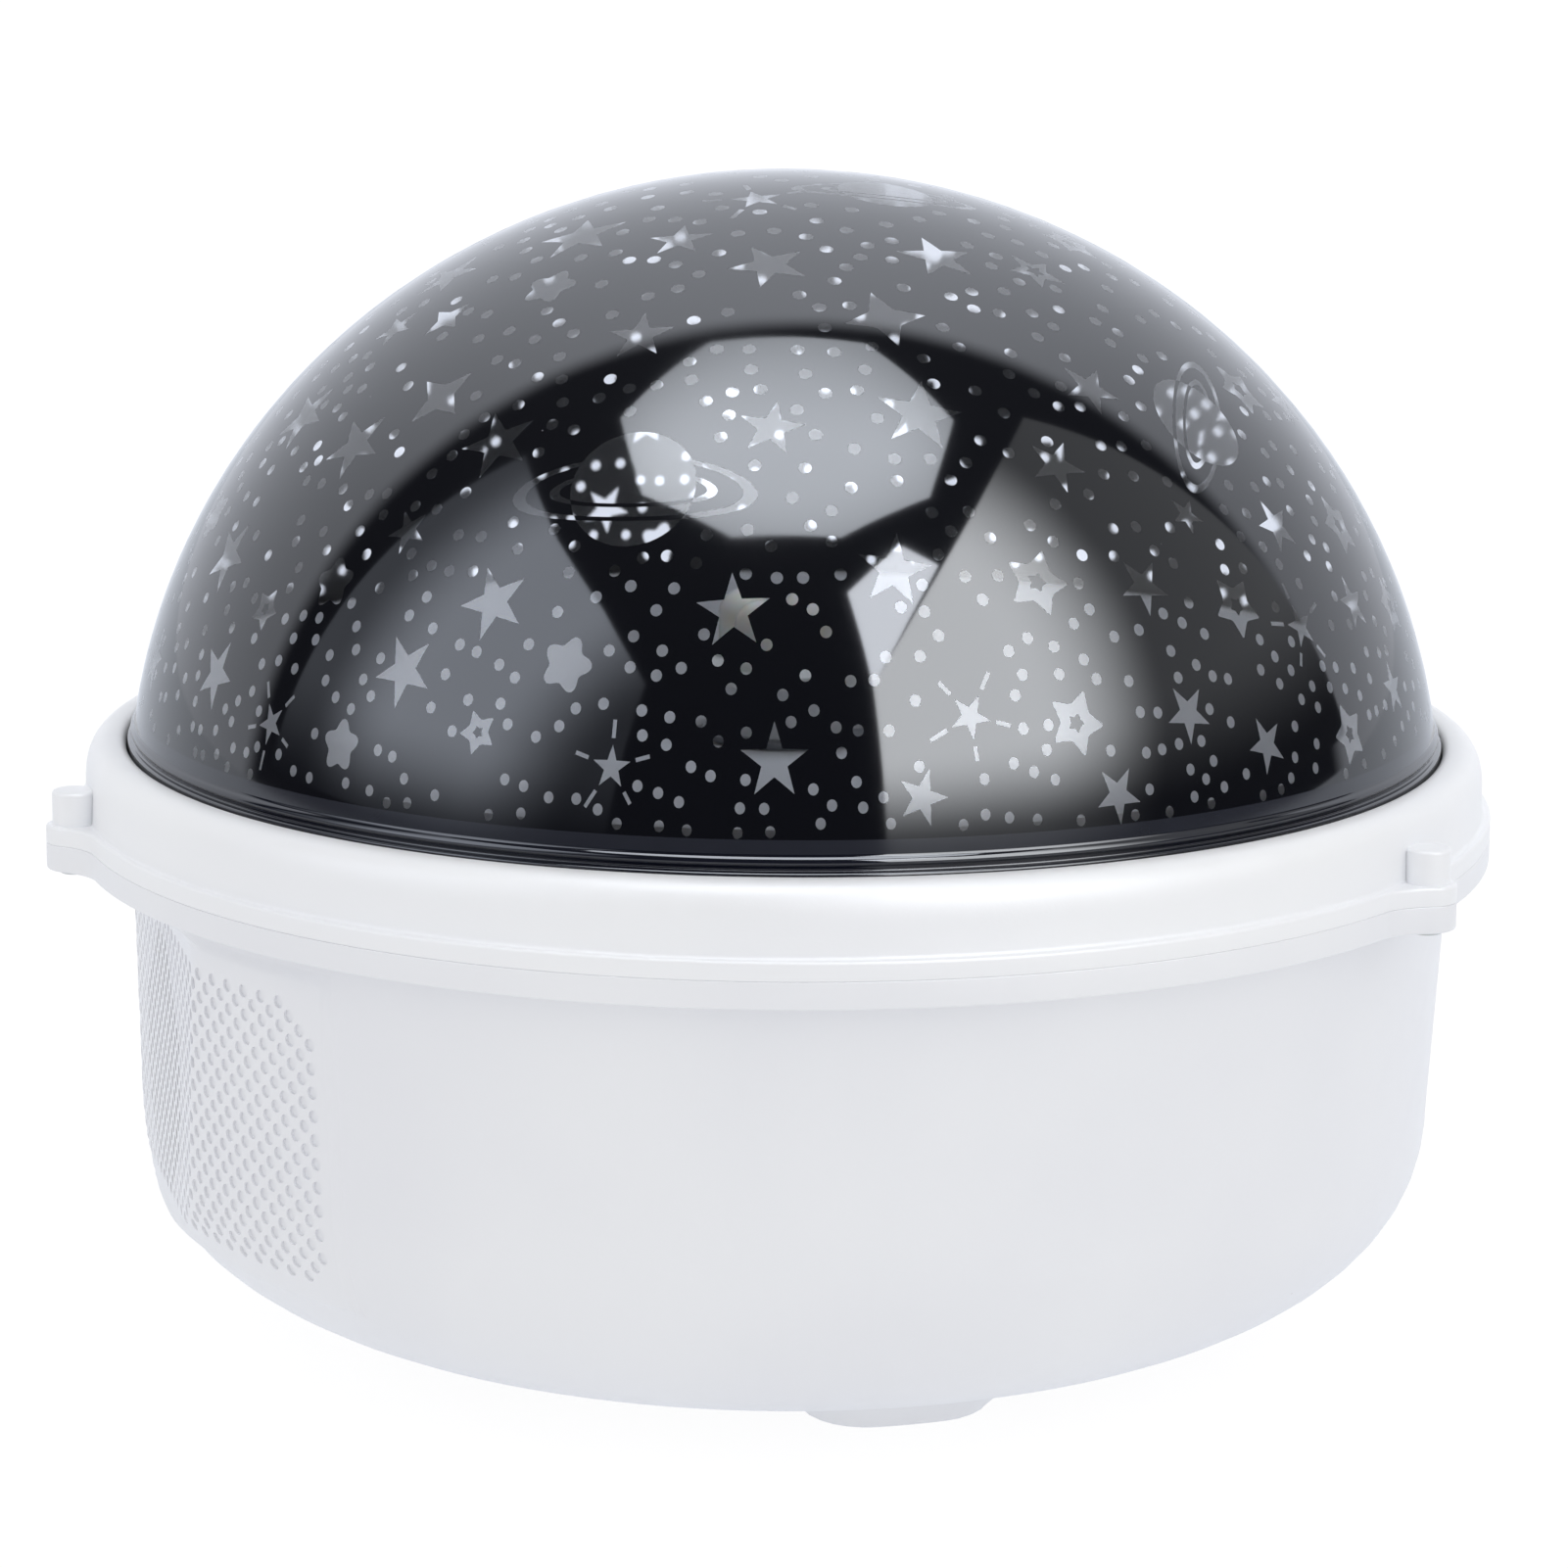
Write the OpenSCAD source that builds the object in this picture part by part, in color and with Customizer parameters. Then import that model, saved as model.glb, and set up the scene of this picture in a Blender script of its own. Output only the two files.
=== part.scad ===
// Star projector night light: a white bowl with a speaker, a collar ring, and a printed
// dome that turns on a geared turntable over a lamp. The origin is on the dome's axis in
// the plane of the feet, +Z is up. The speaker looks towards side_turn + 180 degrees and
// the control panel towards side_turn.

/* [Case] */
// Radius of the flange where the two case halves meet
flange_r = 70; // [69.5:0.1:70.5]
// Height of the parting plane above the table
parting_z = 50.5; // [50.3:0.1:50.7]
// Thickness of the collar's half of the flange
flange_up = 1.8; // [1.6:0.1:2.2]
// Thickness of the bowl's half of the flange
flange_down = 2.6; // [2.4:0.1:3]
// Wall thickness of the bowl and the collar
wall = 2.2; // [2:0.1:2.4]
// Outer radius of the bowl under the flange
bowl_top_r = 66.14; // [66:0.1:66.4]
// Outer radius of the bowl where its rounded corner begins
knee_r = 64.65; // [64.5:0.05:64.8]
// Height of the bowl where its rounded corner begins
knee_z = 22.64; // [22:0.1:23]
// Radius of the bowl's flat bottom
floor_r = 32.6; // [31:0.2:34]
// Height of the bowl's flat bottom above the table
floor_z = 1.85; // [1.7:0.05:2]
// Squareness of the bowl's rounded corner, where 2 is a plain ellipse
corner_n = 2.26; // [2:0.02:2.4]
// Direction of the control panel, with the speaker opposite it
side_turn = 14; // [0:1:20]

/* [Collar] */
// Outer radius of the collar's wall above the flange
collar_r = 69.2; // [69:0.1:69.3]
// Height where the collar's wall turns into its shoulder
shoulder_z = 54.8; // [54.4:0.1:55.2]
// Radius of the shoulder's crown
crown_r = 66.1; // [66:0.05:66.3]
// Height of the shoulder's crown
crown_z = 58.94; // [58.7:0.05:59.1]
// Radius of the opening that the dome turns in
lip_r = 65.7; // [65.65:0.05:65.85]
// Squareness of the shoulder's curve
shoulder_n = 2.6; // [2.2:0.1:3]

/* [Lugs] */
// Distance of each case screw from the dome's axis
lug_at = 70.7; // [70.6:0.1:70.8]
// Directions of the three case screws
lug_dirs = [194, 328, 60];
// Radius of a lug's nose
lug_nose_r = 2.75; // [2.6:0.05:2.9]
// Radius of the hollow curve between a lug and the flange
lug_blend_r = 7; // [5:0.5:9]
// Radius of the closed post over each case screw
post_r = 2.12; // [2:0.02:2.2]
// Height of the posts' tops
post_z = 55.6; // [55.3:0.1:56]

/* [Feet] */
// Direction of the first foot; the others are a quarter turn apart
foot_turn = 17; // [0:1:30]
// Distance of the feet from the dome's axis
foot_at = 37.5; // [37:0.5:38]
// Radius of a foot's round end on the table
foot_r = 6.2; // [6:0.1:6.4]
// Radius of a foot's round end at the bowl
foot_root_r = 8.4; // [8.2:0.1:8.6]
// Half of the angle between a foot's two round ends
foot_half_angle = 4.5; // [4:0.5:5]

/* [Dome] */
// Radius of the dome's ellipsoid
dome_r = 64.96; // [64.9:0.02:65]
// Height of the dome's ellipsoid
dome_h = 62.58; // [61:0.5:64]
// Height of the ellipsoid's middle plane
dome_mid_z = 51.4; // [51.2:0.1:51.5]
// Wall thickness of the dome
dome_wall = 1.8; // [1.6:0.1:1.9]
// Radius of the rim at the dome's foot
rim_r = 65.3; // [65.2:0.05:65.35]
// Height of the rim's underside
rim_z = 58.3; // [58.2:0.05:58.4]

/* [Grille] */
// Angle from the middle of the speaker field to its side edges
field_half_angle = 37.8; // [36:0.2:40]
// Heights of the field's lower and upper edges
field_z = [12.4, 46.2];
// Height of the field above the bowl's surface
field_rise = 0.4; // [0.3:0.1:0.6]
// Distance of the flat in the field's middle from the dome's axis
facet_x = 62.45; // [62.3:0.05:62.7]
// Angle between two columns of holes
hole_step_angle = 1.135; // [1.13:0.005:1.2]
// Distance between the holes of a column
hole_step_z = 2.29; // [2.2:0.01:2.4]
// Radius of a hole
hole_r = 0.59; // [0.5:0.01:0.62]

/* [Speaker] */
// Height of the speaker's middle
speaker_z = 28; // [27.5:0.5:28.5]
// Radius of the speaker's basket
speaker_r = 18; // [17.5:0.5:18]
// Distance of the speaker's front from the dome's axis
speaker_front = 55; // [54.5:0.5:55]

/* [Drive] */
// Tooth size of the gears
gear_module = 0.7; // [0.7:0.1:0.7]
// Teeth on the gear that turns the dome
gear_teeth = 64; // [64:4:64]
// Teeth on the motor's pinion
pinion_teeth = 16; // [16:4:16]
// Radius of the fixed post that the gear turns on
pivot_r = 6; // [5.8:0.1:6.2]
// Radial play between the gear's bore and the post
pivot_play = 0.05; // [0.03:0.01:0.08]
// Radius of the motor's shaft
shaft_r = 1.5; // [1.4:0.1:1.5]

/* [Controls] */
// Width of the button panel
panel_w = 26; // [25:0.5:26]
// Height of the button panel
panel_h = 30; // [29:0.5:30]
// Distance of the panel's face from the dome's axis
panel_x = 61.9; // [61.7:0.1:62]
// Radius of a button
button_r = 4; // [3.8:0.1:4.1]
// Play around a button
button_play = 0.12; // [0.1:0.01:0.15]
// Travel of a button
button_travel = 0.6; // [0.4:0.1:0.7]

/* [Power] */
// Radius of the rechargeable cell
cell_r = 9.1; // [9:0.1:9.2]
// Length of the rechargeable cell
cell_len = 56; // [54:1:58]

/* [Hidden] */
$fn = 96;

// Case heights
flange_top_z = parting_z + flange_up;
flange_low_z = parting_z - flange_down;
edge = 0.3;
curve_steps = 18;
inner_top_r = bowl_top_r - wall;
collar_inner_r = collar_r - wall;
spigot_r = [inner_top_r - 1.5, inner_top_r - 0.3];
spigot_z = parting_z - 2;
lug_sink = 0.05;
lug_root_r = flange_r - edge - 0.25;
lug_steps = 8;

// Stack on the axis, from the deck up
deck_z = [46, 48];
deck_r = 61.5;
deck_lip = 2;
deck_flat_x = facet_x - wall - 0.3;
post_flange_z = deck_z[1] + 1.2;
post_flange_r = 9.5;
post_bore_r = 4.2;
post_top_z = 64;
washer_z = [post_flange_z, post_flange_z + 0.5];
washer_r = 9.2;
gear_z = [washer_z[1] + 0.1, 53.8];
hub_r = 9;
hub_top_z = 57.6;
tray_z = [53.8, 55.8];
tray_r = 64;
tray_floor_z = [56, 58];
tray_seat_r = 14;
tray_rib_r = [60, 61.6];
tray_rib_z = 62.2;
clip_z = [57.9, 58.5];
clip_groove_r = 5.2;
clip_r = 8;

// Dome
dome_skirt_r = [62.6, 64];
dome_wall_z = rim_z + 2.3;
dome_start_angle = asin((dome_wall_z - dome_mid_z) / dome_h);
dome_inner_z = 58;
dome_inner_angle = asin((dome_inner_z - dome_mid_z) / (dome_h - dome_wall));
dome_steps = 30;

// Drive
gear_pitch_r = gear_module * gear_teeth / 2;
pinion_pitch_r = gear_module * pinion_teeth / 2;
gear_distance = gear_pitch_r + pinion_pitch_r;
tooth_height = 0.8 * gear_module;
tooth_depth = 1.15 * gear_module;
tooth_play = 0.12;
pressure_angle = 20;
flank_steps = 4;
pinion_z = [50, 53.4];
gearbox = [12, 10, 9];
gearbox_z = deck_z[0] - gearbox[2];
can_len = 15;
shaft_z = [40.5, 53.4];
motor_screw_at = 10;
lamp_board_r = 9.5;
lamp_board_t = 1.2;
lamp_r = 2.5;
lamp_at = 4.6;

// Pillars and screws inside the bowl
pillar_at = 52;
pillar_r = 3.5;
pillar_dirs = [45, 135, 225, 315];
deck_screw_r = 1.2;
case_screw_r = 0.95;
case_head_r = 1.9;
case_head_z = [flange_low_z - 0.45, flange_low_z + 0.9];

// Speaker, along its own axis from the dome's axis outwards
ear_at = 20.2;
ear_r = 3;
ear_boss_r = 2.1;
gasket_r = [15.5, 18];
frame_t = 1;
gasket_t = 1;
basket_back = speaker_front - 9;
magnet_r = 10.5;
magnet_t = 6;
hole_reach = 12.6;
hole_mid_z = 27.65;
field_slope = 1.8;

// Control panel and board, along the panel's axis
panel_z = 31;
panel_t = 2;
panel_corner = 6;
panel_ledge = 2;
panel_back_x = panel_x - panel_t;
button_y = 6.2;
button_high_z = 38.8;
button_low_z = 27.8;
button_proud = 0.8;
button_flange_r = 4.6;
button_flange_t = 1;
indicator_z = 33.3;
indicator_r = 1.1;
board_x = [51.5, 53.1];
board_w = 42;
board_z = [15, 44];
board_screw_y = 18;
board_screw_z = [19, 40.5];
switch_w = 6;
switch_x = [board_x[1], 57.2];
stem_r = 1.6;
stem_x = 56.2;
usb_z = 19.8;
usb_w = 9;
usb_h = 3.2;
usb_front_x = panel_x - 0.5;

// Battery
cell_x = 18;
cell_z = 16;
holder_w = 21;
holder_len = 60;
holder_z = [5.2, 15.8];
strap_w = 8;
strap_t = 0.8;

// ---- Shapes that several pieces share ----

// Rounded corner as part of a superellipse, from (r1, z1) down or up to (r0, z0)
function corner(r0, r1, z1, z0, n, steps) = [
    for (i = [0:steps])
        let (a = 90 * i / steps)
        [r0 + (r1 - r0) * pow(cos(a), 2 / n), z1 + (z0 - z1) * pow(sin(a), 2 / n)]
];

// Part of an ellipse around the dome's axis
function arc_of(a, b, mid, from, to, steps) = [
    for (i = [0:steps])
        let (t = from + (to - from) * i / steps)
        [a * cos(t), mid + b * sin(t)]
];

function reverse_of(list) = [for (i = [len(list) - 1:-1:0]) list[i]];

// Outside of the bowl below the flange, set in by depth
function bowl_side(depth) = concat(
    [[bowl_top_r - depth, flange_low_z]],
    corner(floor_r, knee_r - depth, knee_z, floor_z + depth, corner_n, curve_steps)
);

// Outside radius of the bowl at a height
function bowl_r_at(z) =
    z >= knee_z
    ? knee_r + (bowl_top_r - knee_r) * (z - knee_z) / (flange_low_z - knee_z)
    : floor_r + (knee_r - floor_r)
        * pow(1 - pow((knee_z - z) / (knee_z - floor_z), corner_n), 1 / corner_n);

module tube(r_in, r_out, z_low, z_high) {
    translate([0, 0, z_low]) difference() {
        cylinder(r = r_out, h = z_high - z_low);
        translate([0, 0, -1]) cylinder(r = r_in, h = z_high - z_low + 2);
    }
}

module rod(r, z_low, z_high) {
    translate([0, 0, z_low]) cylinder(r = r, h = z_high - z_low);
}

// Turns the inner parts to the panel's direction
module to_side() {
    rotate([0, 0, side_turn]) children();
}

// Lays a shape that was drawn upwards along the panel's axis, at the given height
module to_panel(y, z) {
    to_side() translate([0, y, z]) rotate([0, 90, 0]) children();
}

// Lays a shape that was drawn upwards along the speaker's axis
module to_speaker() {
    to_side() translate([0, 0, speaker_z]) rotate([0, -90, 0]) children();
}

// Rectangle with round corners, centred
module round_rect(w, h, r) {
    square([w - 2 * r, h], center = true);
    square([w, h - 2 * r], center = true);
    for (x = [-1, 1], y = [-1, 1])
        translate([x * (w / 2 - r), y * (h / 2 - r)]) circle(r = r);
}

// Prism along the panel's axis whose section is drawn as width and height
module panel_prism(x_low, x_high) {
    to_side() translate([x_low, 0, 0]) rotate([90, 0, 90])
        linear_extrude(height = x_high - x_low) children();
}

// Outline of one lug: a round nose that runs into the flange in two hollow curves
function lug_side() =
    let (
        far = flange_r + lug_blend_r - lug_sink,
        near = lug_nose_r + lug_blend_r,
        turn = acos((lug_at * lug_at + far * far - near * near) / (2 * lug_at * far)),
        mid = far * [cos(turn), sin(turn)],
        to_flange = turn + 180,
        to_nose = 360 + atan2(-mid[1], lug_at - mid[0])
    )
    concat(
        [for (i = [0:lug_steps]) let (a = turn * i / lug_steps) lug_root_r * [cos(a), sin(a)]],
        [for (i = [0:lug_steps])
            let (a = to_flange + (to_nose - to_flange) * i / lug_steps)
            mid + lug_blend_r * [cos(a), sin(a)]],
        [for (i = [1:lug_steps])
            let (a = (to_nose - 180) * (1 - i / lug_steps))
            [lug_at, 0] + lug_nose_r * [cos(a), sin(a)]]
    );

module lug_outline() {
    side = lug_side();
    other = reverse_of([for (i = [1:len(side) - 2]) [side[i][0], -side[i][1]]]);
    polygon(concat(side, other));
}

module lugs(z_low, z_high) {
    for (dir = lug_dirs)
        rotate([0, 0, dir]) translate([0, 0, z_low])
            linear_extrude(height = z_high - z_low) lug_outline();
}

module at_lugs() {
    for (dir = lug_dirs) rotate([0, 0, dir]) translate([lug_at, 0, 0]) children();
}

module at_pillars() {
    to_side() for (dir = pillar_dirs)
        rotate([0, 0, dir]) translate([pillar_at, 0, 0]) children();
}

module at_ears() {
    for (dir = [45, 135, 225, 315]) rotate([0, 0, dir]) translate([ear_at, 0, 0]) children();
}

module at_board_screws() {
    for (y = [-1, 1], z = board_screw_z)
        to_panel(y * board_screw_y, z) children();
}

// Pan head screw, head downwards, with its head's underside at z = 0
module pan_screw(shank_r, head_r, head_t, len) {
    rod(shank_r, 0, len);
    rod(head_r, -head_t * 0.6, 0);
    translate([0, 0, -head_t]) cylinder(r1 = head_r * 0.75, r2 = head_r, h = head_t * 0.4);
}

// ---- Gears ----

function involute(a) = tan(a) * 180 / PI - a;

// Half of a tooth's angle at radius r
function half_tooth(teeth, r) =
    let (pitch_r = gear_module * teeth / 2, base_r = pitch_r * cos(pressure_angle))
    90 / teeth - tooth_play / 2 / pitch_r * 180 / PI
    + involute(pressure_angle) - involute(acos(min(1, base_r / r)));

function tooth_radii(teeth) =
    let (
        pitch_r = gear_module * teeth / 2,
        low = max(pitch_r * cos(pressure_angle), pitch_r - tooth_depth),
        high = pitch_r + tooth_height
    )
    [for (i = [0:flank_steps]) low + (high - low) * i / flank_steps];

function gear_points(teeth) =
    let (
        radii = tooth_radii(teeth),
        root_r = gear_module * teeth / 2 - tooth_depth,
        low = half_tooth(teeth, radii[0])
    )
    [
        for (k = [0:teeth - 1])
            let (mid = 360 * k / teeth)
            each concat(
                [root_r * [cos(mid - low), sin(mid - low)]],
                [for (r = radii)
                    r * [cos(mid - half_tooth(teeth, r)), sin(mid - half_tooth(teeth, r))]],
                [for (i = [flank_steps:-1:0])
                    let (r = radii[i])
                    r * [cos(mid + half_tooth(teeth, r)), sin(mid + half_tooth(teeth, r))]],
                [root_r * [cos(mid + low), sin(mid + low)]]
            )
    ];

// ---- Case ----

function bowl_outline() = concat(
    [
        [inner_top_r, parting_z], [flange_r, parting_z],
        [flange_r, flange_low_z + edge], [flange_r - edge, flange_low_z],
    ],
    bowl_side(0),
    [[0, floor_z], [0, floor_z + wall]],
    reverse_of(corner(floor_r, knee_r - wall, knee_z, floor_z + wall, corner_n, curve_steps))
);

module bowl_solid() {
    rotate_extrude() polygon(concat([[0, parting_z]], [[inner_top_r, parting_z]],
        bowl_side(0.5), [[0, floor_z + 0.5]]));
}

// Low raised field around the grille, which follows the bowl's own curve
module field() {
    z_low = field_z[0] + field_slope;
    z_high = field_z[1] - field_slope;
    outer = [
        for (i = [0:12])
            let (z = z_low + (z_high - z_low) * i / 12)
            [bowl_r_at(z) + field_rise, z]
    ];
    half = field_half_angle - 0.8;
    rotate([0, 0, side_turn + 180 - half]) rotate_extrude(angle = 2 * half)
        polygon(concat(
            [[bowl_r_at(field_z[0]) - 0.5, field_z[0]], [bowl_r_at(field_z[0]), field_z[0]]],
            outer,
            [[bowl_r_at(field_z[1]), field_z[1]], [bowl_r_at(field_z[1]) - 0.5, field_z[1]]]
        ));
}

// Section through the flat in the field's middle, as distance from the dome's axis and height
module facet_section(inset) {
    far = flange_r + 2;
    x = facet_x - inset;
    top = field_z[1] - field_slope + inset;
    rise = (far - x) * field_slope / (bowl_top_r - facet_x);
    polygon([[x, floor_z + wall], [x, top], [far, top + rise], [far, floor_z + wall]]);
}

module facet(inset) {
    rotate([0, 0, side_turn + 180]) translate([0, 25, 0]) rotate([90, 0, 0])
        linear_extrude(height = 50) facet_section(inset);
}

// Holes that open onto the speaker's cone
module grille_holes() {
    columns = floor(hole_reach / bowl_top_r * 180 / PI / hole_step_angle);
    rows = floor(hole_reach / hole_step_z) + 1;
    for (c = [-columns:columns], k = [-rows:rows])
        let (
            turn = c * hole_step_angle,
            z = hole_mid_z + (k + (c % 2 == 0 ? 0.5 : 0)) * hole_step_z,
            y = bowl_top_r * sin(turn)
        )
        if (norm([y, z - speaker_z]) < hole_reach)
            rotate([0, 0, side_turn + 180 + turn]) translate([bowl_top_r - 8, 0, z])
                rotate([0, 90, 0]) cylinder(r = hole_r, h = 12);
}

module foot() {
    top = floor_z + 2;
    root = foot_root_r + 1.2;
    section = [[foot_at - foot_r, 0], [foot_at + foot_r, 0], [foot_at + root, top],
        [foot_at - root, top]];
    rotate([0, 0, -foot_half_angle]) rotate_extrude(angle = 2 * foot_half_angle)
        polygon(section);
    for (side = [-1, 1]) rotate([0, 0, side * foot_half_angle]) translate([foot_at, 0, 0])
        cylinder(r1 = foot_r, r2 = root, h = top);
}

module lower_bowl() {
    color("white") difference() {
        union() {
            rotate_extrude() polygon(bowl_outline());
            field();
            lugs(flange_low_z, parting_z);
            for (k = [0:3]) rotate([0, 0, foot_turn + 90 * k]) foot();
            intersection() {
                bowl_solid();
                union() {
                    facet(wall);
                    at_pillars() rod(pillar_r, 0, deck_z[0]);
                    to_speaker() tube(gasket_r[0], gasket_r[1], speaker_front + gasket_t, flange_r);
                    to_speaker() at_ears() rod(ear_boss_r, speaker_front, flange_r);
                    at_board_screws() rod(2.4, board_x[1], flange_r);
                    panel_prism(panel_back_x - 2.5, flange_r)
                        translate([0, panel_z]) round_rect(panel_w + 5, panel_h + 2, panel_corner);
                    to_side() translate([cell_x - holder_w / 2, -holder_len / 2, 3])
                        cube([holder_w, holder_len, holder_z[0] - 3]);
                }
            }
        }
        facet(0);
        grille_holes();
        panel_prism(panel_back_x, flange_r + 5)
            translate([0, panel_z]) round_rect(panel_w + 0.2, panel_h + 0.2, panel_corner);
        panel_prism(panel_back_x - 5, flange_r) translate([0, panel_z])
            round_rect(panel_w - 2 * panel_ledge, panel_h - 2 * panel_ledge, panel_corner - panel_ledge);
        at_pillars() rod(deck_screw_r, deck_z[0] - 10, deck_z[0] + 1);
        to_speaker() at_ears() rod(1, speaker_front - 1, speaker_front + 2.5);
        at_board_screws() rod(1, board_x[1] - 1, board_x[1] + 3);
        at_lugs() rod(case_screw_r + 0.05, flange_low_z - 1, parting_z + 1);
        at_lugs() rod(case_head_r + 0.1, flange_low_z - 1, case_head_z[1]);
    }
}

function collar_outline() = concat(
    [
        [flange_r, parting_z], [flange_r, flange_top_z - edge],
        [flange_r - edge, flange_top_z], [collar_r, flange_top_z],
    ],
    corner(crown_r, collar_r - 0.1, shoulder_z, crown_z, shoulder_n, curve_steps),
    [
        [crown_r - 0.2, crown_z], [lip_r + 0.1, crown_z - 0.35],
        [lip_r, crown_z - 0.6], [lip_r, crown_z - 2.2], [collar_inner_r, crown_z - 3.4],
        [collar_inner_r, flange_top_z], [spigot_r[0], flange_top_z], [spigot_r[0], spigot_z],
        [spigot_r[1], spigot_z], [spigot_r[1], parting_z],
    ]
);

module collar_ring() {
    color("white") difference() {
        union() {
            rotate_extrude() polygon(collar_outline());
            lugs(parting_z, flange_top_z);
            at_lugs() {
                rod(post_r, parting_z, post_z - edge);
                translate([0, 0, post_z - edge])
                    cylinder(r1 = post_r, r2 = post_r - edge, h = edge);
            }
        }
        at_lugs() rod(case_screw_r, parting_z - 1, post_z - 1.4);
    }
}

module case_screws() {
    color("silver") at_lugs() {
        rod(case_screw_r, case_head_z[1], post_z - 2);
        rod(case_head_r, case_head_z[0] + 0.3, case_head_z[1]);
        translate([0, 0, case_head_z[0]])
            cylinder(r1 = case_head_r - 0.5, r2 = case_head_r, h = 0.3);
    }
}

// ---- Dome and turntable ----

function dome_outline() = concat(
    [
        [dome_skirt_r[1], tray_z[1]], [dome_skirt_r[1], rim_z],
        [rim_r - 0.1, rim_z], [rim_r, rim_z + 0.1],
        [rim_r, rim_z + 0.7], [rim_r - 0.15, rim_z + 0.85], [rim_r - 0.55, rim_z + 0.85],
        [rim_r - 0.75, rim_z + 1.05], [rim_r - 0.55, rim_z + 1.3], [rim_r - 0.4, rim_z + 1.6],
        [rim_r - 0.5, rim_z + 1.9], [rim_r - 0.8, rim_z + 2.1],
    ],
    arc_of(dome_r, dome_h, dome_mid_z, dome_start_angle, 90, dome_steps),
    arc_of(dome_r - dome_wall, dome_h - dome_wall, dome_mid_z, 90, dome_inner_angle, dome_steps),
    [[dome_skirt_r[0], dome_inner_z - 0.3], [dome_skirt_r[0], tray_z[1]]]
);

module star_dome() {
    color([0.1, 0.1, 0.13]) rotate_extrude() polygon(dome_outline());
}

module turntable() {
    color("whitesmoke") {
        tube(tray_rib_r[0], tray_r, tray_z[0], tray_z[1]);
        tube(tray_rib_r[0], tray_rib_r[1], tray_z[0], tray_rib_z);
        tube(hub_r, tray_rib_r[1], tray_floor_z[0], tray_floor_z[1]);
        tube(hub_r, tray_seat_r, tray_z[0], tray_floor_z[1]);
    }
}

module drive_gear() {
    color("ivory") to_side() difference() {
        union() {
            translate([0, 0, gear_z[0]]) linear_extrude(height = gear_z[1] - gear_z[0])
                polygon(gear_points(gear_teeth));
            rod(hub_r, gear_z[0], hub_top_z);
        }
        rod(pivot_r + pivot_play, gear_z[0] - 1, hub_top_z + 1);
        for (k = [0:5]) rotate([0, 0, 60 * k]) translate([15, 0, 0])
            rod(3.2, gear_z[0] - 1, gear_z[1] + 1);
    }
}

module thrust_washer() {
    color("lightgrey") tube(pivot_r + 0.1, washer_r, washer_z[0], washer_z[1]);
}

module retaining_ring() {
    color("silver") to_side() difference() {
        tube(clip_groove_r, clip_r, clip_z[0], clip_z[1]);
        translate([0, -2, clip_z[0] - 1]) cube([clip_r + 1, 4, 3]);
    }
}

module pivot_post() {
    color("whitesmoke") difference() {
        union() {
            rod(post_flange_r, deck_z[1], post_flange_z);
            rod(pivot_r, deck_z[1], post_top_z);
        }
        rod(post_bore_r, deck_z[1] - 1, post_top_z + 1);
        tube(clip_groove_r, pivot_r + 1, clip_z[0], clip_z[1]);
    }
}

module led_board() {
    color("whitesmoke") rod(lamp_board_r, post_top_z, post_top_z + lamp_board_t);
}

module led_lamps() {
    base_z = post_top_z + lamp_board_t;
    color("lightyellow") to_side() for (k = [0:3])
        rotate([0, 0, 45 + 90 * k]) translate([lamp_at, 0, base_z]) {
            cylinder(r = lamp_r + 0.4, h = 1);
            cylinder(r = lamp_r, h = 4);
            translate([0, 0, 4]) sphere(r = lamp_r);
        }
}

module deck_plate() {
    color("gainsboro") to_side() difference() {
        union() {
            rod(deck_r, deck_z[0], deck_z[1]);
            tube(deck_r - deck_lip, deck_r, deck_z[0] - 1, deck_z[0]);
        }
        rod(post_bore_r, deck_z[0] - 2, deck_z[1] + 1);
        translate([0, gear_distance, 0]) rod(shaft_r + 0.7, deck_z[0] - 1, deck_z[1] + 1);
        for (x = [-1, 1]) translate([x * motor_screw_at, gear_distance, 0])
            rod(0.85, deck_z[0] - 1, deck_z[1] + 1);
        for (dir = pillar_dirs) rotate([0, 0, dir]) translate([pillar_at, 0, 0])
            rod(deck_screw_r + 0.2, deck_z[0] - 1, deck_z[1] + 1);
        for (dir = [20, 160, 340]) rotate([0, 0, dir]) translate([44, -3, deck_z[0] - 1])
            cube([7, 6, 4]);
        translate([panel_back_x - 3, -panel_w / 2 - 4, deck_z[0] - 2]) cube([8, panel_w + 8, 5]);
        translate([-deck_r - 1, -7, deck_z[0] - 2]) cube([deck_lip + 2, 14, 2.2]);
        translate([-deck_r - 1, -25, deck_z[0] - 2]) cube([deck_r + 1 - deck_flat_x, 50, 5]);
    }
}

module deck_screws() {
    color("silver") at_pillars() translate([0, 0, deck_z[1]]) mirror([0, 0, 1])
        pan_screw(deck_screw_r, 2.4, 1.3, 9);
}

module at_motor() {
    to_side() translate([0, gear_distance, 0]) children();
}

module motor_gearbox() {
    color("goldenrod") at_motor() difference() {
        translate([-gearbox[0] / 2, -gearbox[1] / 2, gearbox_z]) cube(gearbox);
        rod(shaft_r + 0.05, shaft_z[0] - 0.5, deck_z[0] + 1);
    }
}

module motor_can() {
    color("silver") at_motor() {
        intersection() {
            rod(gearbox[0] / 2, gearbox_z - can_len, gearbox_z);
            translate([-gearbox[0] / 2, -gearbox[1] / 2, gearbox_z - can_len])
                cube([gearbox[0], gearbox[1], can_len]);
        }
        rod(2, gearbox_z - can_len - 1.2, gearbox_z - can_len);
    }
}

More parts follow.
